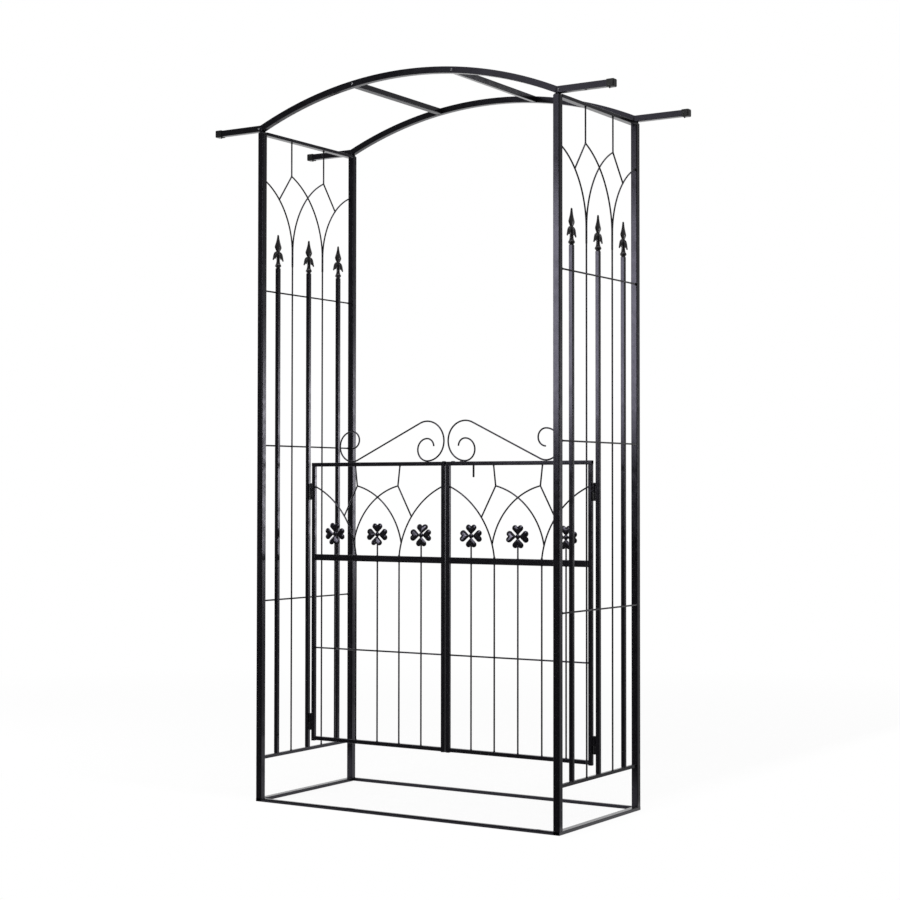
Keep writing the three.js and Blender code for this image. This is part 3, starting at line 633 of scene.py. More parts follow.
def finial_mesh():
    """One casting: a foot with a knop, a flat pointed head, and a ribbed leaf that droops on either side."""
    shape = Shape(turned((0, 0, 0), Z, FINIAL_FOOT, 32))
    for k in range(KNOP_BUMPS):
        turn = (k + 0.5) * 2 * pi / KNOP_BUMPS
        place = (cos(turn) * KNOP_RADIUS, sin(turn) * KNOP_RADIUS, KNOP_Z)
        shape.drop(place, KNOP_SIZE, 0.05)
    turns = np.linspace(0, 2 * pi, HEAD_SIDES, endpoint=False)
    across, through = np.cos(turns), np.sin(turns)
    reach = (np.abs(across) ** HEAD_POWER + np.abs(through) ** HEAD_POWER) ** (-1 / HEAD_POWER)
    rings = []
    for share, half, thick in FINIAL_HEAD:
        heights = np.full(HEAD_SIDES, share * FINIAL_HEIGHT)
        rings.append(np.column_stack((thick * through * reach, half * across * reach, heights)))
    shape.add(skin(rings))
    for way in (-1, 1):
        shape.add(rib(LEAF_RIM, way))
        shape.add(skin([np.array([(x, way * y, z) for y, z in LEAF_WEB]) for x in (-WEB_HALF, WEB_HALF)]))
        for face in (-1, 1):
            for vein in LEAF_VEINS:
                shape.add(rib(vein, way, face * VEIN_LIFT))
    return one_casting(shape)


def make_spears():
    casting = finial_mesh()
    for side_name, _ in SIDES:
        for place_name in ("front", "middle", "back"):
            bar(f"spear_{place_name}_{side_name}", 2, BAR_CORNER)
            name = f"finial_{place_name}_{side_name}"
            low, high = box_mm(name)
            place = ((low[0] + high[0]) / 2, (low[1] + high[1]) / 2, low[2])
            stand_in(name, casting, slot="casting", weighted=False, place=place)


# Wire grilles of the side panels.

PITCH = 78
WIRE = 4.5
# The wires as drawn, which are a little thicker than the CAD part's 4.5 and 4 mm.
WIRE_LOOK, THIN_LOOK = 5.0, 4.8
CROSS_OFFSET = SPEAR_HALF + FIT + WIRE / 2
UPRIGHT_OFFSET = CROSS_OFFSET - WIRE + 0.5
PANEL_REACH = POST_Y - POST_HALF - FIT
PANEL_SPRING, PANEL_OUTER, PANEL_INNER = 1660, 232, 264
PANEL_KNOT, PANEL_FOOT = 83, 145
CROSS_HEIGHTS = (599, 1068, 1537)
# Where an arched wire leaves its upright.
NUDGE, NUDGE_HEIGHT, NUDGE_TAIL = 1.3, 45, 38
ARC_STEPS = 36


def leaning(springing, radius, lean):
    return springing + sqrt(radius ** 2 - (radius - lean) ** 2)


def springing_arc(foot, springing, radius, lean, way, low=0.0):
    """Points of an arc that springs upright at its foot and leans over, from angle low on."""
    end = acos(1 - lean / radius)
    return [(foot + way * (radius - radius * cos(a)), springing + radius * sin(a))
            for a in np.linspace(low, end, ARC_STEPS + 1)]


def grille(side):
    """A side's wires and the drops of weld on them, which are given as a place and half axes."""
    shape, welds = Shape(), Shape()
    x0 = side * (POST_X + UPRIGHT_OFFSET)
    x1 = side * (POST_X + CROSS_OFFSET)

    def at(y, z):
        return x0, y, z

    for z in CROSS_HEIGHTS:
        shape.wire([(x1, -PANEL_REACH, z), (x1, PANEL_REACH, z)], X, WIRE_LOOK)
        for end in (-1, 1):
            large = 1.5 if (side, end, z) == (1, 1, CROSS_HEIGHTS[-1]) else 1
            welds.drop((x1, end * (PANEL_REACH - 0.8), z), large * np.array((3.4, 2.6, 3.3)))
        for k in (-2, 0, 2):
            welds.drop((x1 - side * 1.9, k * PITCH + 3.6, z + 0.6), (1.7, 2.3, 1.8))
            welds.drop((x1 - side * 1.9, k * PITCH - 3.6, z - 0.4), (1.7, 2.1, 1.7))
        for k in (-1, 1):
            welds.drop((x1 - side * 1.6, k * PITCH, z), (2.4, 2.9, 2.9), 0.22)
    lean = (PANEL_REACH - PITCH - 2) / (1 - 2 / PANEL_OUTER)
    bottom, top = LOW_RAIL_Z + SLIM_HALF, SPRING_Z - FLAT_BAR
    for way in (-1, 1):
        foot = way * PITCH
        knot = at(way * PANEL_KNOT, leaning(PANEL_SPRING, PANEL_INNER, PANEL_KNOT + PITCH))
        diagonal = at(way * PANEL_FOOT, leaning(PANEL_SPRING, PANEL_OUTER, PANEL_FOOT - PITCH))
        shape.wire([at(foot, bottom + FIT), at(foot, PANEL_SPRING + WIRE)], X, WIRE_LOOK)
        for direction, radius, reach in ((way, PANEL_OUTER, lean), (-way, PANEL_INNER, PANEL_KNOT + PITCH)):
            path = [at(foot + direction * NUDGE, PANEL_SPRING - NUDGE_TAIL)]
            for y, z in springing_arc(foot, PANEL_SPRING, radius, reach, direction):
                fade = max(0.0, 1 - (z - PANEL_SPRING) / NUDGE_HEIGHT)
                path.append(at(y + direction * NUDGE * fade, z))
            shape.wire(path, X, THIN_LOOK)
        shape.wire([knot, at(knot[1], top - FIT)], X, THIN_LOOK)
        shape.wire([knot, diagonal], X, THIN_LOOK)
        welds.drop(knot, (2.7, 3.0, 3.4))
        welds.drop(diagonal, (2.5, 2.9, 3.0))
        welds.drop(at(knot[1], top - 1.2), (3.0, 3.2, 2.4))
        welds.drop(at(foot, bottom + 1.0), (3.2, 3.4, 2.2))
        end_z = leaning(PANEL_SPRING, PANEL_OUTER, lean)
        welds.drop(at(way * (PANEL_REACH - 0.9), end_z + 0.4), (3.0, 2.6, 3.6))
        welds.seam(at(foot, PANEL_SPRING - 12), at(foot, PANEL_SPRING + 30), 2.1)
    welds.drop(at(0, leaning(PANEL_SPRING, PANEL_INNER, PITCH)), (2.3, 2.6, 2.8))
    return shape, welds


def make_grilles():
    for side_name, side in SIDES:
        shape, welds = grille(side)
        stand_in(f"wire_grille_{side_name}", shape, **ROUND)
        for k in (-2, 0, 2):
            for dy in (-SPEAR_HALF, SPEAR_HALF):
                start = np.array((side * POST_X - 4, k * PITCH + dy, LOW_RAIL_Z + SLIM_HALF + 0.1))
                welds.seam(start, start + 8 * X, 0.9)
        piece(f"grille_welds_{side_name}", welds, **ROUND)


# Gate leaves.

GATE_BAR, GATE_HALF = 12, 6
GATE_TOP, GATE_MID, GATE_BOTTOM = 1012, 725, 165
LEAF_GAP = 5
MEETING_X, HINGE_X, HINGE_AXIS = 8.5, 486, 498
LEAF_X = (MEETING_X + HINGE_X) / 2
GATE_PITCH = (HINGE_X - MEETING_X) / 6
MID_HALF = 9.5
MID_TOP = GATE_MID + MID_HALF
# The clear width of a leaf, between its stiles.
LEAF_START, LEAF_END = MEETING_X + GATE_HALF + FIT, HINGE_X - GATE_HALF - FIT
CLOVER_Z, CLOVER_SIZE = GATE_MID + 73.5, 66
# The gate's tracery: heights from the middle or the top rail, distances from the leaf's middle.
SPRING_DEPTH, ARCH_DEPTH = 19, 68.5
KNOT_ASIDE, KNOT_DEPTH, STEM_ASIDE, TIE_ASIDE = 75, 66, 82, 124
INNER_RADIUS, LANDING_HEIGHT = 216, 49
BOLT_Y = 11.7
HINGE_HEIGHTS = (928, 214)


def on_leaf(side):
    """Gives places on a leaf from the distance to the arch's middle, the height and the depth."""
    return lambda offset, z, y=0: np.array((side * offset, y, z))


def arc_between(start, end, radius):
    """Points of an arc from one place to another, which bulges upwards."""
    start, end = vec(start), vec(end)
    middle, along = (start + end) / 2, end - start
    rise = sqrt(radius ** 2 - along.dot(along) / 4)
    down = unit((along[1], -along[0]))
    centre = middle + down * (rise if down[1] < 0 else -rise)
    a = atan2(*(start - centre)[::-1])
    turn = atan2(*(end - centre)[::-1]) - a
    turn = atan2(sin(turn), cos(turn))
    return [tuple(centre + radius * np.array((cos(a + turn * t), sin(a + turn * t))))
            for t in np.linspace(0, 1, ARC_STEPS + 1)]


def gate_wires(side):
    shape, welds = Shape(), Shape()
    at = on_leaf(side)
    bottom = GATE_BOTTOM + GATE_HALF + FIT
    cross_z = (GATE_MID + GATE_BOTTOM) / 2
    for i in range(5):
        offset = MEETING_X + (i + 1) * GATE_PITCH
        top = MID_TOP + WIRE if i % 2 else CLOVER_Z - 0.83 * CLOVER_SIZE / 2
        shape.wire([at(offset, bottom), at(offset, top)], Y, WIRE_LOOK)
        welds.drop(at(offset, bottom + 0.6), (3.3, 3.2, 2.0))
        welds.drop(at(offset, MID_TOP + 0.3), (3.2, 3.2, 1.5))
        welds.drop(at(offset, GATE_MID - MID_HALF - 0.3), (3.2, 3.2, 1.4))
        welds.drop(at(offset, cross_z), (2.7, 2.6, 2.8))
    shape.wire([at(LEAF_START, cross_z), at(LEAF_END, cross_z)], Y, WIRE_LOOK)
    for offset in (LEAF_START + 0.6, LEAF_END - 0.6):
        welds.drop(at(offset, cross_z), (2.3, 3.2, 3.2))

    springing = GATE_MID - SPRING_DEPTH
    reach = (LEAF_END - LEAF_START) / 2 - GATE_PITCH
    low_h, high_h = MID_TOP - springing, GATE_TOP - ARCH_DEPTH - springing
    radius = hypot(low_h, ((high_h ** 2 - low_h ** 2) / reach + reach) / 2)
    start = asin(low_h / radius)
    shift = radius * (1 - cos(start))
    lean = (reach + shift - 2) / (1 - 2 / radius)
    foot_z = leaning(springing, radius, TIE_ASIDE - GATE_PITCH + shift)
    landing_z = GATE_MID + LANDING_HEIGHT
    landing_lean = radius - sqrt(radius ** 2 - (landing_z - springing) ** 2) - shift
    for way in (-1, 1):
        foot = LEAF_X + way * GATE_PITCH
        tie = np.array((LEAF_X + way * KNOT_ASIDE, GATE_TOP - KNOT_DEPTH))
        knot = at(*tie)
        arc = springing_arc(foot - way * shift, springing, radius, lean, way, low=start)
        shape.wire([at(*p) for p in arc], Y, THIN_LOOK)
        welds.drop(at(*arc[-1]), (2.3, 2.9, 3.2))
        diagonal = at(LEAF_X + way * TIE_ASIDE, foot_z)
        shape.wire([knot, diagonal], Y, THIN_LOOK)
        stem = np.array((LEAF_X + way * STEM_ASIDE, GATE_TOP - GATE_HALF - FIT))
        shape.wire([knot, at(*(stem - unit(stem - tie) * 0.3))], Y, THIN_LOOK)
        landing = (LEAF_X - way * (GATE_PITCH + landing_lean), landing_z)
        shape.wire([at(*p) for p in arc_between(tie, landing, INNER_RADIUS)], Y, THIN_LOOK)
        welds.drop(knot, (2.9, 2.5, 3.1))
        welds.drop(diagonal, (2.7, 2.4, 2.9))
        welds.drop(at(stem[0], stem[1] - 0.8), (3.0, 2.8, 1.9))
        welds.seam(at(landing[0], landing[1] - 5), at(landing[0] + way * 0.8, landing[1] + 9), 2.2)
        welds.drop(at(foot, MID_TOP + 1.4), (3.6, 3.1, 2.6))
    knot = (LEAF_X - KNOT_ASIDE, GATE_TOP - KNOT_DEPTH)
    inner = arc_between(knot, (LEAF_X + GATE_PITCH, landing_z), INNER_RADIUS)
    crossing = min(inner, key=lambda p: abs(p[0] - LEAF_X))
    welds.drop(at(*crossing), (2.6, 2.4, 2.8))
    return shape, welds


CLOVER_LENGTH = CLOVER_SIZE / 2
LOBE_RADIUS = 0.26 * CLOVER_LENGTH
LOBE_HEIGHT = CLOVER_LENGTH - LOBE_RADIUS
PETAL_TIP = 3.8
LOBE_ASIDE = LOBE_HEIGHT - PETAL_TIP - LOBE_RADIUS * sqrt(2)
PETAL_NOTCH = 0.86 * CLOVER_LENGTH
LOBE_END, LOBE_STEPS = radians(147), 16
PETAL_RIM, PETAL_DOME, PETAL_BEND = 1.0, 1.7, 1.0
PETAL_CELL = 1.0
# The clovers are drawn this much wider and taller than in the CAD part.
CLOVER_STRETCH = np.array((1.08, 1, 1.02))
# The boss in a clover's middle, as (distance, radius) from its back.
BOSS_BACK = 1.4
BOSS = ((0, 6.8), (2.2, 7.8), (3.3, 7.0), (3.9, 4.8), (4.1, 1.6))


def heart_outline():
    """A petal's outline: straight sides that leave slots of one width, and two round lobes with a notch."""
    centre = np.array((LOBE_ASIDE, LOBE_HEIGHT))
    right = [(0.0, PETAL_TIP)]
    straight = centre + LOBE_RADIUS * np.array((sqrt(0.5), -sqrt(0.5)))
    right += [(straight[0] * t, PETAL_TIP + (straight[1] - PETAL_TIP) * t) for t in (0.25, 0.5, 0.75)]
    for a in np.linspace(-pi / 4, LOBE_END, LOBE_STEPS + 1):
        right.append(tuple(centre + LOBE_RADIUS * np.array((cos(a), sin(a)))))
    return right + [(0.0, PETAL_NOTCH)] + [(-x, y) for x, y in reversed(right[1:])]


def petal():
    """A domed heart: the front rises with the distance from the outline, the back follows it hollow, and
    the whole bends back towards its end."""
    outline = np.array(heart_outline())
    a, b = outline, np.roll(outline, -1, 0)

    def edge_distance(points):
        d = b - a
        t = np.einsum("pki,ki->pk", points[:, None] - a, d) / (d ** 2).sum(1)
        near = a + np.clip(t, 0, 1)[..., None] * d
        return np.linalg.norm(points[:, None] - near, axis=2).min(1)

    def inside(points):
        x, y = points[:, 0:1], points[:, 1:2]
        rise = np.where(b[:, 1] == a[:, 1], 1e-9, b[:, 1] - a[:, 1])
        spans = (a[:, 1] > y) != (b[:, 1] > y)
        crosses = spans & (x < (b[:, 0] - a[:, 0]) * (y - a[:, 1]) / rise + a[:, 0])
        return crosses.sum(1) % 2 == 1

    low, high = outline.min(0), outline.max(0)
    rows = np.arange(low[1] + PETAL_CELL / 2, high[1], PETAL_CELL * 0.87)
    inner = np.array([(x, y) for i, y in enumerate(rows)
                      for x in np.arange(low[0] + (i % 2) * PETAL_CELL / 2, high[0], PETAL_CELL)])
    inner = inner[inside(inner)]
    inner = inner[edge_distance(inner) > PETAL_CELL * 0.45]
    edges = [(i, (i + 1) % len(outline)) for i in range(len(outline))]
    places = [Vector(p) for p in np.concatenate((outline, inner))]
    points, _, faces, *_ = delaunay_2d_cdt(places, edges, [], 1, 1e-5)
    points = np.array([tuple(p) for p in points])
    border = np.arange(len(points)) < len(outline)
    distance = np.where(border, 0, edge_distance(points))
    rise = 1 - (1 - np.clip(distance / (0.85 * LOBE_RADIUS), 0, 1)) ** 2
    links = [set() for _ in points]
    for face in faces:
        for i, j in zip(face, face[1:] + face[:1]):
            links[i].add(j)
            links[j].add(i)
    for _ in range(5):
        around = np.array([np.mean(rise[list(near)]) for near in links])
        rise = np.where(border, rise, (rise + around) / 2)
    bend = PETAL_BEND * (points[:, 1] / CLOVER_LENGTH) ** 2 - PETAL_BEND / 2
    front = np.column_stack((points[:, 0], bend - PETAL_RIM / 2 - PETAL_DOME * rise, points[:, 1]))
    back = np.column_stack((points[:, 0], bend + PETAL_RIM / 2 - 0.8 * PETAL_DOME * rise, points[:, 1]))
    count = len(points)
    shell = [tuple(face) for face in faces] + [tuple(count + i for i in reversed(face)) for face in faces]
    shell += [(i, j, count + j, count + i) for i, j in edges]
    return np.concatenate((front, back)), shell


def turn_about(axis, degrees):
    return np.array(Matrix.Rotation(radians(degrees), 3, Vector(axis)))


def clover_mesh(name, heart, leans):
    """Four petals, each tipped, twisted and folded a little as the press left it, and a low boss."""
    points, faces = heart
    shape = Shape()
    for k, (tip, twist, fold_left, fold_right) in enumerate(leans):
        folds = np.tan(np.radians(np.where(points[:, 0] < 0, fold_left, fold_right)))
        folded = points + np.outer(np.abs(points[:, 0]) * folds, Y)
        turn = turn_about(Y, -90 * k) @ turn_about(X, tip) @ turn_about(Z, twist)
        shape.add((folded @ turn.T * CLOVER_STRETCH, faces))
    shape.add(turned((0, BOSS_BACK, 0), -Y, BOSS, 32))
    return mesh_of(name, shape, 50)


# Lean of each clover's petals in degrees: tip forward, twist, fold of the left and the right half backward.
# The petals of a clover are its top, left, bottom and right one.
PETAL_LEANS = (
    ((0, 1, 0, 0), (1, -2, 0, 0), (10, 0, 9, 0), (0, 2, 0, 0)),
    ((1, 0, 1, 0), (9, 0, 0, 15), (14, 0, 12, 0), (-1, 1, 0, 0)),
    ((-12, 0, 0, 12), (12, 0, 0, 15), (0, 1, 0, 0), (2, 0, 0, 2)),
    ((0, -1, 0, 0), (12, 14, 3, 2), (1, 0, 0, 2), (-2, 0, 0, 0)),
    ((2, 0, 0, 0), (13, 13, 0, 4), (-1, -1, 0, 0), (1, 3, 0, 0)),
    ((0, 0, 2, 0), (2, 0, 0, 1), (0, 2, 0, 0), (1, 0, 1, 0)),
)


# The scroll: radii of its bends from the meeting edge to the hinge, and its distances from both edges.
SCROLL_RADII = (23.5, 33.5, 59.5, 46, 26)
SCROLL_INSET, SCROLL_END = 7.5, 151


def scroll_path():
    bottom = GATE_TOP + GATE_HALF + FIT + WIRE / 2
    curl, turn, large, small, tail = SCROLL_RADII
    x, z = large + SCROLL_INSET, bottom + large
    far_x, far_z = HINGE_X + GATE_HALF - SCROLL_END, bottom + small
    slope = atan2(far_z - z, far_x - x) - asin((large + small) / hypot(far_x - x, far_z - z))
    q = pi / 2

    def arc(x, z, radius, start, end, steps):
        turns = np.linspace(start, end, steps + 1)
        return [(x + radius * cos(a), z + radius * sin(a)) for a in turns]

    return [
        *arc(x, bottom + 2 * turn - curl, curl, 2 * q, q, 18)[:-1],
        *arc(x, bottom + turn, turn, q, -q, 36)[:-1],
        *arc(x, z, large, 3 * q, q + slope, 48),
        *arc(far_x, far_z, small, slope - q, q, 48)[:-1],
        *arc(far_x, bottom + 2 * small - tail, tail, q, 3 * q, 36),
    ]


# Hinge barrels: length of either half with its gap, width, eased width at the ends, bore, and sides.
BARREL_HALF, BARREL_WIDE, BARREL_EASED, BARREL_BORE, BARREL_SIDES = 25, 11, 10, 6.8, 28
# The pin as (height over the joint between the halves, radius).
PIN = ((-24.8, 3.0), (0, 3.0), (24.4, 3.0), (24.7, 3.0), (25.0, 3.2), (26.2, 3.1), (26.8, 2.3), (27.0, 1.1))
# The bolt's staples and keeper, and how far their middles are off the bolt's.
STAPLES = {"left": (-14,), "right": (18, 48)}
STAPLE_BACK, STAPLE_UP = 0.4, 1.25


def make_hinge_stile(side_name, side, fine):
    at = on_leaf(side)
    name = f"gate_hinge_stile_{side_name}"
    low, high = box_mm(name)
    path = [at(HINGE_X, low[2]), at(HINGE_X, high[2])]
    stile = Shape(tube(path, Y, GATE_BAR, GATE_BAR, TUBE_CORNER, BAR_WALL))
    outer, eased, hole = (circle(d, BARREL_SIDES) for d in (BARREL_WIDE, BARREL_EASED, BARREL_BORE))
    length = BARREL_HALF - FIT
    edge = HINGE_X + GATE_HALF
    stations = [(0, eased), (0.5, outer), (length - 0.5, outer), (length, eased), (length, hole), (0, hole)]
    web = [(0, rounded(length - 2, 5.4, 1)), (2.2, rounded(length - 2, 5.2, 1))]
    for z in HINGE_HEIGHTS:
        stile.add(loft(at(HINGE_AXIS, z + FIT), Z, Y, stations, closed=True))
        stile.add(loft(at(edge - 0.4, z + BARREL_HALF / 2 + 0.1), side * X, Y, web))
        for y in (-3.4, 3.4):
            fine.seam(at(edge + 0.4, z + FIT + 1, y), at(edge + 0.4, z + BARREL_HALF - 1, y), 1.25)
    stand_in(name, stile, f"leaf_{side_name}")


def make_top_rail(side_name, side, fine):
    at = on_leaf(side)
    path = [at(LEAF_GAP / 2, GATE_TOP), at(HINGE_X + GATE_HALF, GATE_TOP)]
    rail = Shape(tube(path, Y, GATE_BAR, GATE_BAR, TUBE_CORNER, BAR_WALL))
    for x in STAPLES[side_name]:
        rail.add(staple(x))
        for z in (GATE_TOP - 3.6, GATE_TOP + 4.4):
            fine.seam((x - 4, GATE_HALF + 0.6, z), (x + 4, GATE_HALF + 0.6, z), 1.1)
    stand_in(f"gate_top_rail_{side_name}", rail, f"leaf_{side_name}")


def staple(x):
    """A keeper of the bolt: a block with eased edges and a square way through it."""
    body, eased = rounded(13.5, 11.6, 2.4), rounded(12.3, 10.4, 2.4)
    way = square(6.8, 0.8) + np.array((STAPLE_UP, STAPLE_BACK))
    stations = [(-4, eased), (-3.4, body), (3.4, body), (4, eased), (4, way), (-4, way)]
    return loft((x, BOLT_Y - STAPLE_BACK, GATE_TOP + STAPLE_UP), X, Y, stations, closed=True)


def make_leaf(side_name, side, heart):
    body = f"leaf_{side_name}"
    at = on_leaf(side)
    fine = Shape()
    bar(f"gate_meeting_stile_{side_name}", 2, TUBE_CORNER, body)
    make_hinge_stile(side_name, side, fine)
    make_top_rail(side_name, side, fine)
    path = [at(LEAF_START, GATE_MID), at(LEAF_END, GATE_MID)]
    middle = Shape(tube(path, Y, 2 * MID_HALF, GATE_BAR, TUBE_CORNER, BAR_WALL))
    stand_in(f"gate_mid_rail_{side_name}", middle, body)
    bar(f"gate_bottom_rail_{side_name}", 0, TUBE_CORNER, body)

    wires, welds = gate_wires(side)
    stand_in(f"gate_wires_{side_name}", wires, body, **ROUND)
    scroll = Shape()
    scroll.wire([at(*p) for p in scroll_path()], Y, WIRE_LOOK)
    stand_in(f"gate_scroll_{side_name}", scroll, body, **ROUND)
    welds.drop(at(SCROLL_RADII[2] + SCROLL_INSET, GATE_TOP + GATE_HALF + 1.9), (4.2, 3.0, 3.0), 0.2)
    under = GATE_TOP - GATE_HALF - 0.1
    faces = (0.5 - GATE_HALF, GATE_HALF - 0.5)
    for offset, y in product((MEETING_X, HINGE_X), faces):
        fine.seam(at(offset - 5, under, y), at(offset + 5, under, y), 0.8)
    rails = ((GATE_MID, MID_HALF), (GATE_BOTTOM, GATE_HALF))
    for (z, half), offset, y in product(rails, (LEAF_START - 0.2, LEAF_END + 0.2), faces):
        fine.seam(at(offset, z - half + 1, y), at(offset, z + half - 1, y), 0.8)
    for i in range(3):
        name = f"clover_{i + 1}_{side_name}"
        offset = MEETING_X + (2 * i + 1) * GATE_PITCH
        clover = clover_mesh(name, heart, PETAL_LEANS[2 - i if side < 0 else 3 + i])
        stand_in(name, clover, body, weighted=False, place=at(offset, CLOVER_Z))
        low, high = CLOVER_Z - 0.42 * CLOVER_SIZE - 2, CLOVER_Z - 0.36 * CLOVER_SIZE
        welds.seam(at(offset, low, 0.6), at(offset, high, 0.6), 2.2)
    piece(f"gate_wire_welds_{side_name}", welds, body, **ROUND)
    piece(f"gate_joint_welds_{side_name}", fine, body, **ROUND)


def make_hinge_pivots():
    length = BARREL_HALF - FIT
    wide, eased = BARREL_WIDE / 2, BARREL_EASED / 2 - 0.1
    barrel = [(0, eased), (0.5, wide), (length - 0.5, wide), (length, eased)]
    web = [(0, rounded(length - 2.2, 5.2, 1)), (2.3, rounded(length - 2.2, 5.4, 1))]
    for side_name, side in SIDES:
        x = side * HINGE_AXIS
        for level, z in zip(("upper", "lower"), HINGE_HEIGHTS):
            shape = Shape(turned((x, 0, z - BARREL_HALF), Z, barrel, BARREL_SIDES))
            shape.add(loft((x + side * 3.4, 0, z - (BARREL_HALF + FIT) / 2), side * X, Y, web))
            shape.add(turned((x, 0, z), Z, PIN))
            for y in (-3.3, 3.3):
                shape.seam((x + side * 5.0, y, z - 24), (x + side * 5.0, y, z - 1.4), 1.2)
            stand_in(f"hinge_pivot_{level}_{side_name}", shape, slot="fittings")


# The bolt: diameter and sides of its rod, its free end, its handle's place and length, and the bend.
BOLT_ROD, BOLT_SIDES, BOLT_START, HANDLE_X, HANDLE_DROP, BOLT_BEND = 6, 20, 5, 89, 41, 7


def make_bolt():
    bend = [(HANDLE_X - BOLT_BEND + BOLT_BEND * sin(a), GATE_TOP - BOLT_BEND + BOLT_BEND * cos(a))
            for a in np.linspace(0, pi / 2, 13)]
    path = [(x, BOLT_Y, z) for x, z in ((BOLT_START, GATE_TOP), *bend, (HANDLE_X, GATE_TOP - HANDLE_DROP))]
    rod = Shape()
    rod.wire(path, Y, BOLT_ROD, BOLT_SIDES)
    stand_in("latch_bolt", rod, "latch", "fittings", **ROUND)


# Small fasteners and welds of the frame.

# A screw head's profile, as shares of how proud it stands and of its radius.
HEAD_PROFILE = ((0, 1), (0.45, 0.97), (0.8, 0.8), (1, 0.45), (0.7, 0.28), (0.55, 0.12))


def screw_head(place, along, radius, proud):
    """A pan head with a dip in its middle."""
    profile = [(-1.2, radius * 0.9)] + [(proud * rise, radius * share) for rise, share in HEAD_PROFILE]
    return turned(place, along, profile, 28)


def make_screws():
    shape = Shape()
    corner_x, tip_x = POST_X + 7.5, POST_X + ARM_REACH - 11
    for end in (-1, 1):
        face = end * (POST_Y + ARCH_TUBE / 2)
        for x in (-CROSSBAR_X, CROSSBAR_X):
            shape.add(screw_head((x, face, arch_z(x)), end * Y, 3.9, 1.35))
        for side in (-1, 1):
            shape.add(screw_head((side * corner_x, face, ARCH_Z - 1.0), end * Y, 3.3, 1.1))
            shape.add(screw_head((side * tip_x, face + end * 0.1, ARCH_Z - 3.2), end * Y, 2.2, 1.2))
    piece("screws", shape, slot="fittings", material="zinc")


def make_frame_welds():
    """Runs of weld round the ends of the rails, the feet of the posts and the ends of the base bars."""
    shape = Shape()
    rails = ((SPRING_Z - FLAT_BAR / 2, FLAT_BAR / 2, POST_HALF - 0.3),
             (LOW_RAIL_Z, SLIM_HALF, SLIM_HALF - 0.2))
    reach = POST_HALF - 0.1
    for _, side, end in CORNERS:
        x, y = side * POST_X, end * (POST_Y - POST_HALF - 0.1)
        for z, half, wide in rails:
            for dx in (-wide, wide):
                shape.seam((x + dx, y, z - half + 0.8), (x + dx, y, z + half - 0.8), 0.85)
            shape.seam((x - wide + 1, y, z - half - 0.1), (x + wide - 1, y, z - half - 0.1), 0.9)
        for dx, dy in ((0, -end), (-1, 0), (1, 0)):
            middle = np.array((x + reach * dx, end * POST_Y + reach * dy, FLAT_BAR + FIT))
            half_run = 7.8 * np.array((abs(dy), abs(dx), 0))
            shape.seam(middle - half_run, middle + half_run, 1.0)
        bar_y = end * (POST_Y + POST_HALF - FLAT_BAR / 2)
        inner = x - side * (POST_HALF + 0.1)
        shape.seam((inner, bar_y - 3.8, FLAT_BAR), (inner, bar_y + 3.8, FLAT_BAR), 0.9)
        shape.seam((inner, bar_y - end * 4.8, 1.2), (inner, bar_y - end * 4.8, 9), 0.9)
    piece("frame_welds", shape, **ROUND)


# Studio: a pale floor, a surround that is white behind the object and dim in front of it, and soft lamps.

FLOOR_GLOW, FLOOR_SIZE = 0.88, 14.0
# The distances from the arch between which the sheet's look rises from that glow to white.
FADE_START, FADE_END = 1.4, 4.5
# The sheet's edges in front of the arch and on its right, and the widths of the white ramps along them.
FLOOR_FRONT, FLOOR_RIGHT = -0.27, 0.58
RAMP_FRONT, RAMP_RIGHT = 0.12, 0.15
# The surround's strength in front and on the right, and its share in light that no gloss mirrors.
SURROUND_DIM, SURROUND_RIGHT, SURROUND_SHARE = 0.1, 0.34, 0.75


def seen_rays(tree):
    """One for rays that the camera, gloss or glass sends out, and nought for the others."""
    path = node(tree, "LightPath")
    seen = path.outputs["Is Camera Ray"]
    for name in ("Is Glossy Ray", "Is Transmission Ray"):
        seen = combine(tree, "MAXIMUM", seen, path.outputs[name])
    return path, seen


def make_floor():
    mesh = bpy.data.meshes.new("floor")
    corners = [(-FLOOR_SIZE, FLOOR_FRONT, 0), (FLOOR_RIGHT, FLOOR_FRONT, 0),
               (FLOOR_RIGHT, FLOOR_SIZE, 0), (-FLOOR_SIZE, FLOOR_SIZE, 0)]
    mesh.from_pydata(corners, [], [(0, 1, 2, 3)])
    settings = {"Base Color": (0.82, 0.82, 0.82, 1), "Roughness": 0.9, "Specular IOR Level": 0.1}
    material, tree, shader = new_material("floor", settings)
    link = tree.links.new
    glow = node(tree, "Emission", Color=(1, 1, 1, 1), Strength=1.0)
    _, seen = seen_rays(tree)
    coords = node(tree, "TexCoord").outputs["Object"]
    length = node(tree, "VectorMath", operation="LENGTH")
    link(coords, length.inputs[0])
    x, y, _ = axes(tree, coords)
    away = spread(tree, length.outputs["Value"], FADE_START, FADE_END, FLOOR_GLOW, 1.0)
    front = spread(tree, y, FLOOR_FRONT, FLOOR_FRONT + RAMP_FRONT, 1.0, FLOOR_GLOW)
    right = spread(tree, x, FLOOR_RIGHT - RAMP_RIGHT, FLOOR_RIGHT, FLOOR_GLOW, 1.0)
    edges = combine(tree, "MAXIMUM", front, right)
    share = combine(tree, "MULTIPLY", seen, combine(tree, "MAXIMUM", away, edges))
    mixed = node(tree, "MixShader")
    link(share, mixed.inputs[0])
    link(shader.outputs[0], mixed.inputs[1])
    link(glow.outputs[0], mixed.inputs[2])
    link(mixed.outputs[0], tree.nodes["Material Output"].inputs["Surface"])
    mesh.materials.append(material)
    floor = placed("floor", mesh)


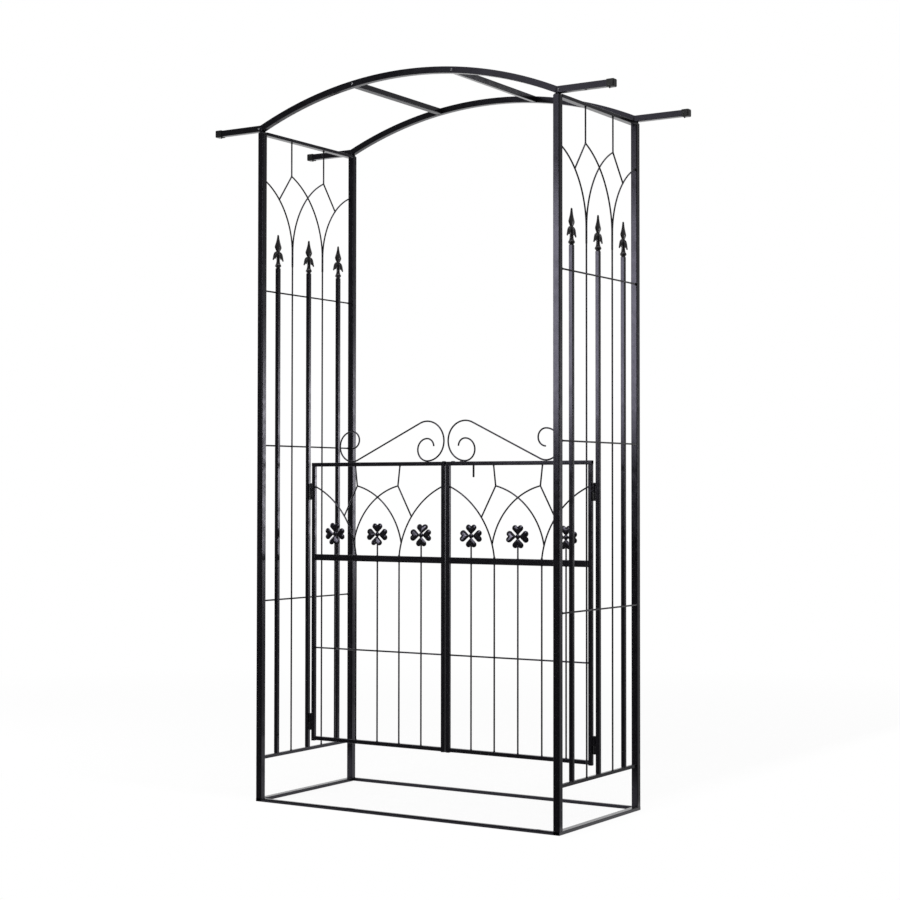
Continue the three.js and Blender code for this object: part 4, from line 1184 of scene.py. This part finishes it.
def make_world():
    """A surround that is dim in front of the arch, and pale behind it on the left and overhead."""
    world = bpy.data.worlds.new("studio")
    bpy.context.scene.world = world
    world.use_nodes = True
    tree = world.node_tree
    background = tree.nodes["Background"]
    background.inputs["Color"].default_value = (1, 1, 1, 1)
    x, y, z = axes(tree, node(tree, "TexCoord").outputs["Generated"])
    bearing = combine(tree, "ARCTAN2", x, y)
    back = spread(tree, y, -0.25, 0.35)
    right = spread(tree, bearing, radians(-8), radians(14), 1, SURROUND_RIGHT)
    ceiling = spread(tree, z, 0.3, 0.8)
    walls = combine(tree, "MULTIPLY", back, right)
    room = spread(tree, combine(tree, "MAXIMUM", walls, ceiling), 0, 1, SURROUND_DIM, 1)
    path, seen = seen_rays(tree)
    plain = combine(tree, "MULTIPLY", room, spread(tree, seen, 0, 1, SURROUND_SHARE, 1))
    strength = combine(tree, "MAXIMUM", plain, path.outputs["Is Camera Ray"])
    tree.links.new(strength, background.inputs["Strength"])


def lamp(name, place, target, size, power, spread_angle=180):
    """A soft lamp. A small spread angle keeps its light near its own direction, as a grid does."""
    data = bpy.data.lights.new(name, "AREA")
    data.spread = radians(spread_angle)
    data.shape = "RECTANGLE"
    data.size, data.size_y = size
    data.energy = power
    made = placed(name, data)
    made.location = place
    made.rotation_euler = (Vector(target) - Vector(place)).to_track_quat("-Z", "Y").to_euler()
    made.visible_camera = False


def make_lamps():
    lamp("front_left", (-1.5, -4.0, 1.86), (-1.0, 0, 1.6), (1.3, 1.2), 42)
    lamp("front_high", (-0.6, -3.9, 2.85), (0, 0, 0.8), (0.9, 0.9), 1.75, spread_angle=32)
    lamp("front_top", (-1.5, -4.0, 3.0), (0.6, 0, 2.0), (1.2, 0.8), 5)
    lamp("left", (-3.3, -0.7, 1.5), (0, 0, 1.0), (1.5, 1.5), 40)
    lamp("far_right", (17.7, 23.9, 1.5), (-0.5, 0, 1.2), (1.8, 3.4), 290)
    lamp("overhead", (0, 0, 4.6), (0, 0, 0), (3.0, 3.0), 60)


make_camera()
make_world()
make_floor()
make_lamps()
make_posts()
make_beams()
make_caps()
make_crossbars()
make_rails()
make_spears()
make_grilles()
heart = petal()
for side_name, side in SIDES:
    make_leaf(side_name, side, heart)
make_hinge_pivots()
make_bolt()
make_screws()
make_frame_welds()

bpy.context.scene.view_settings.view_transform = "Standard"
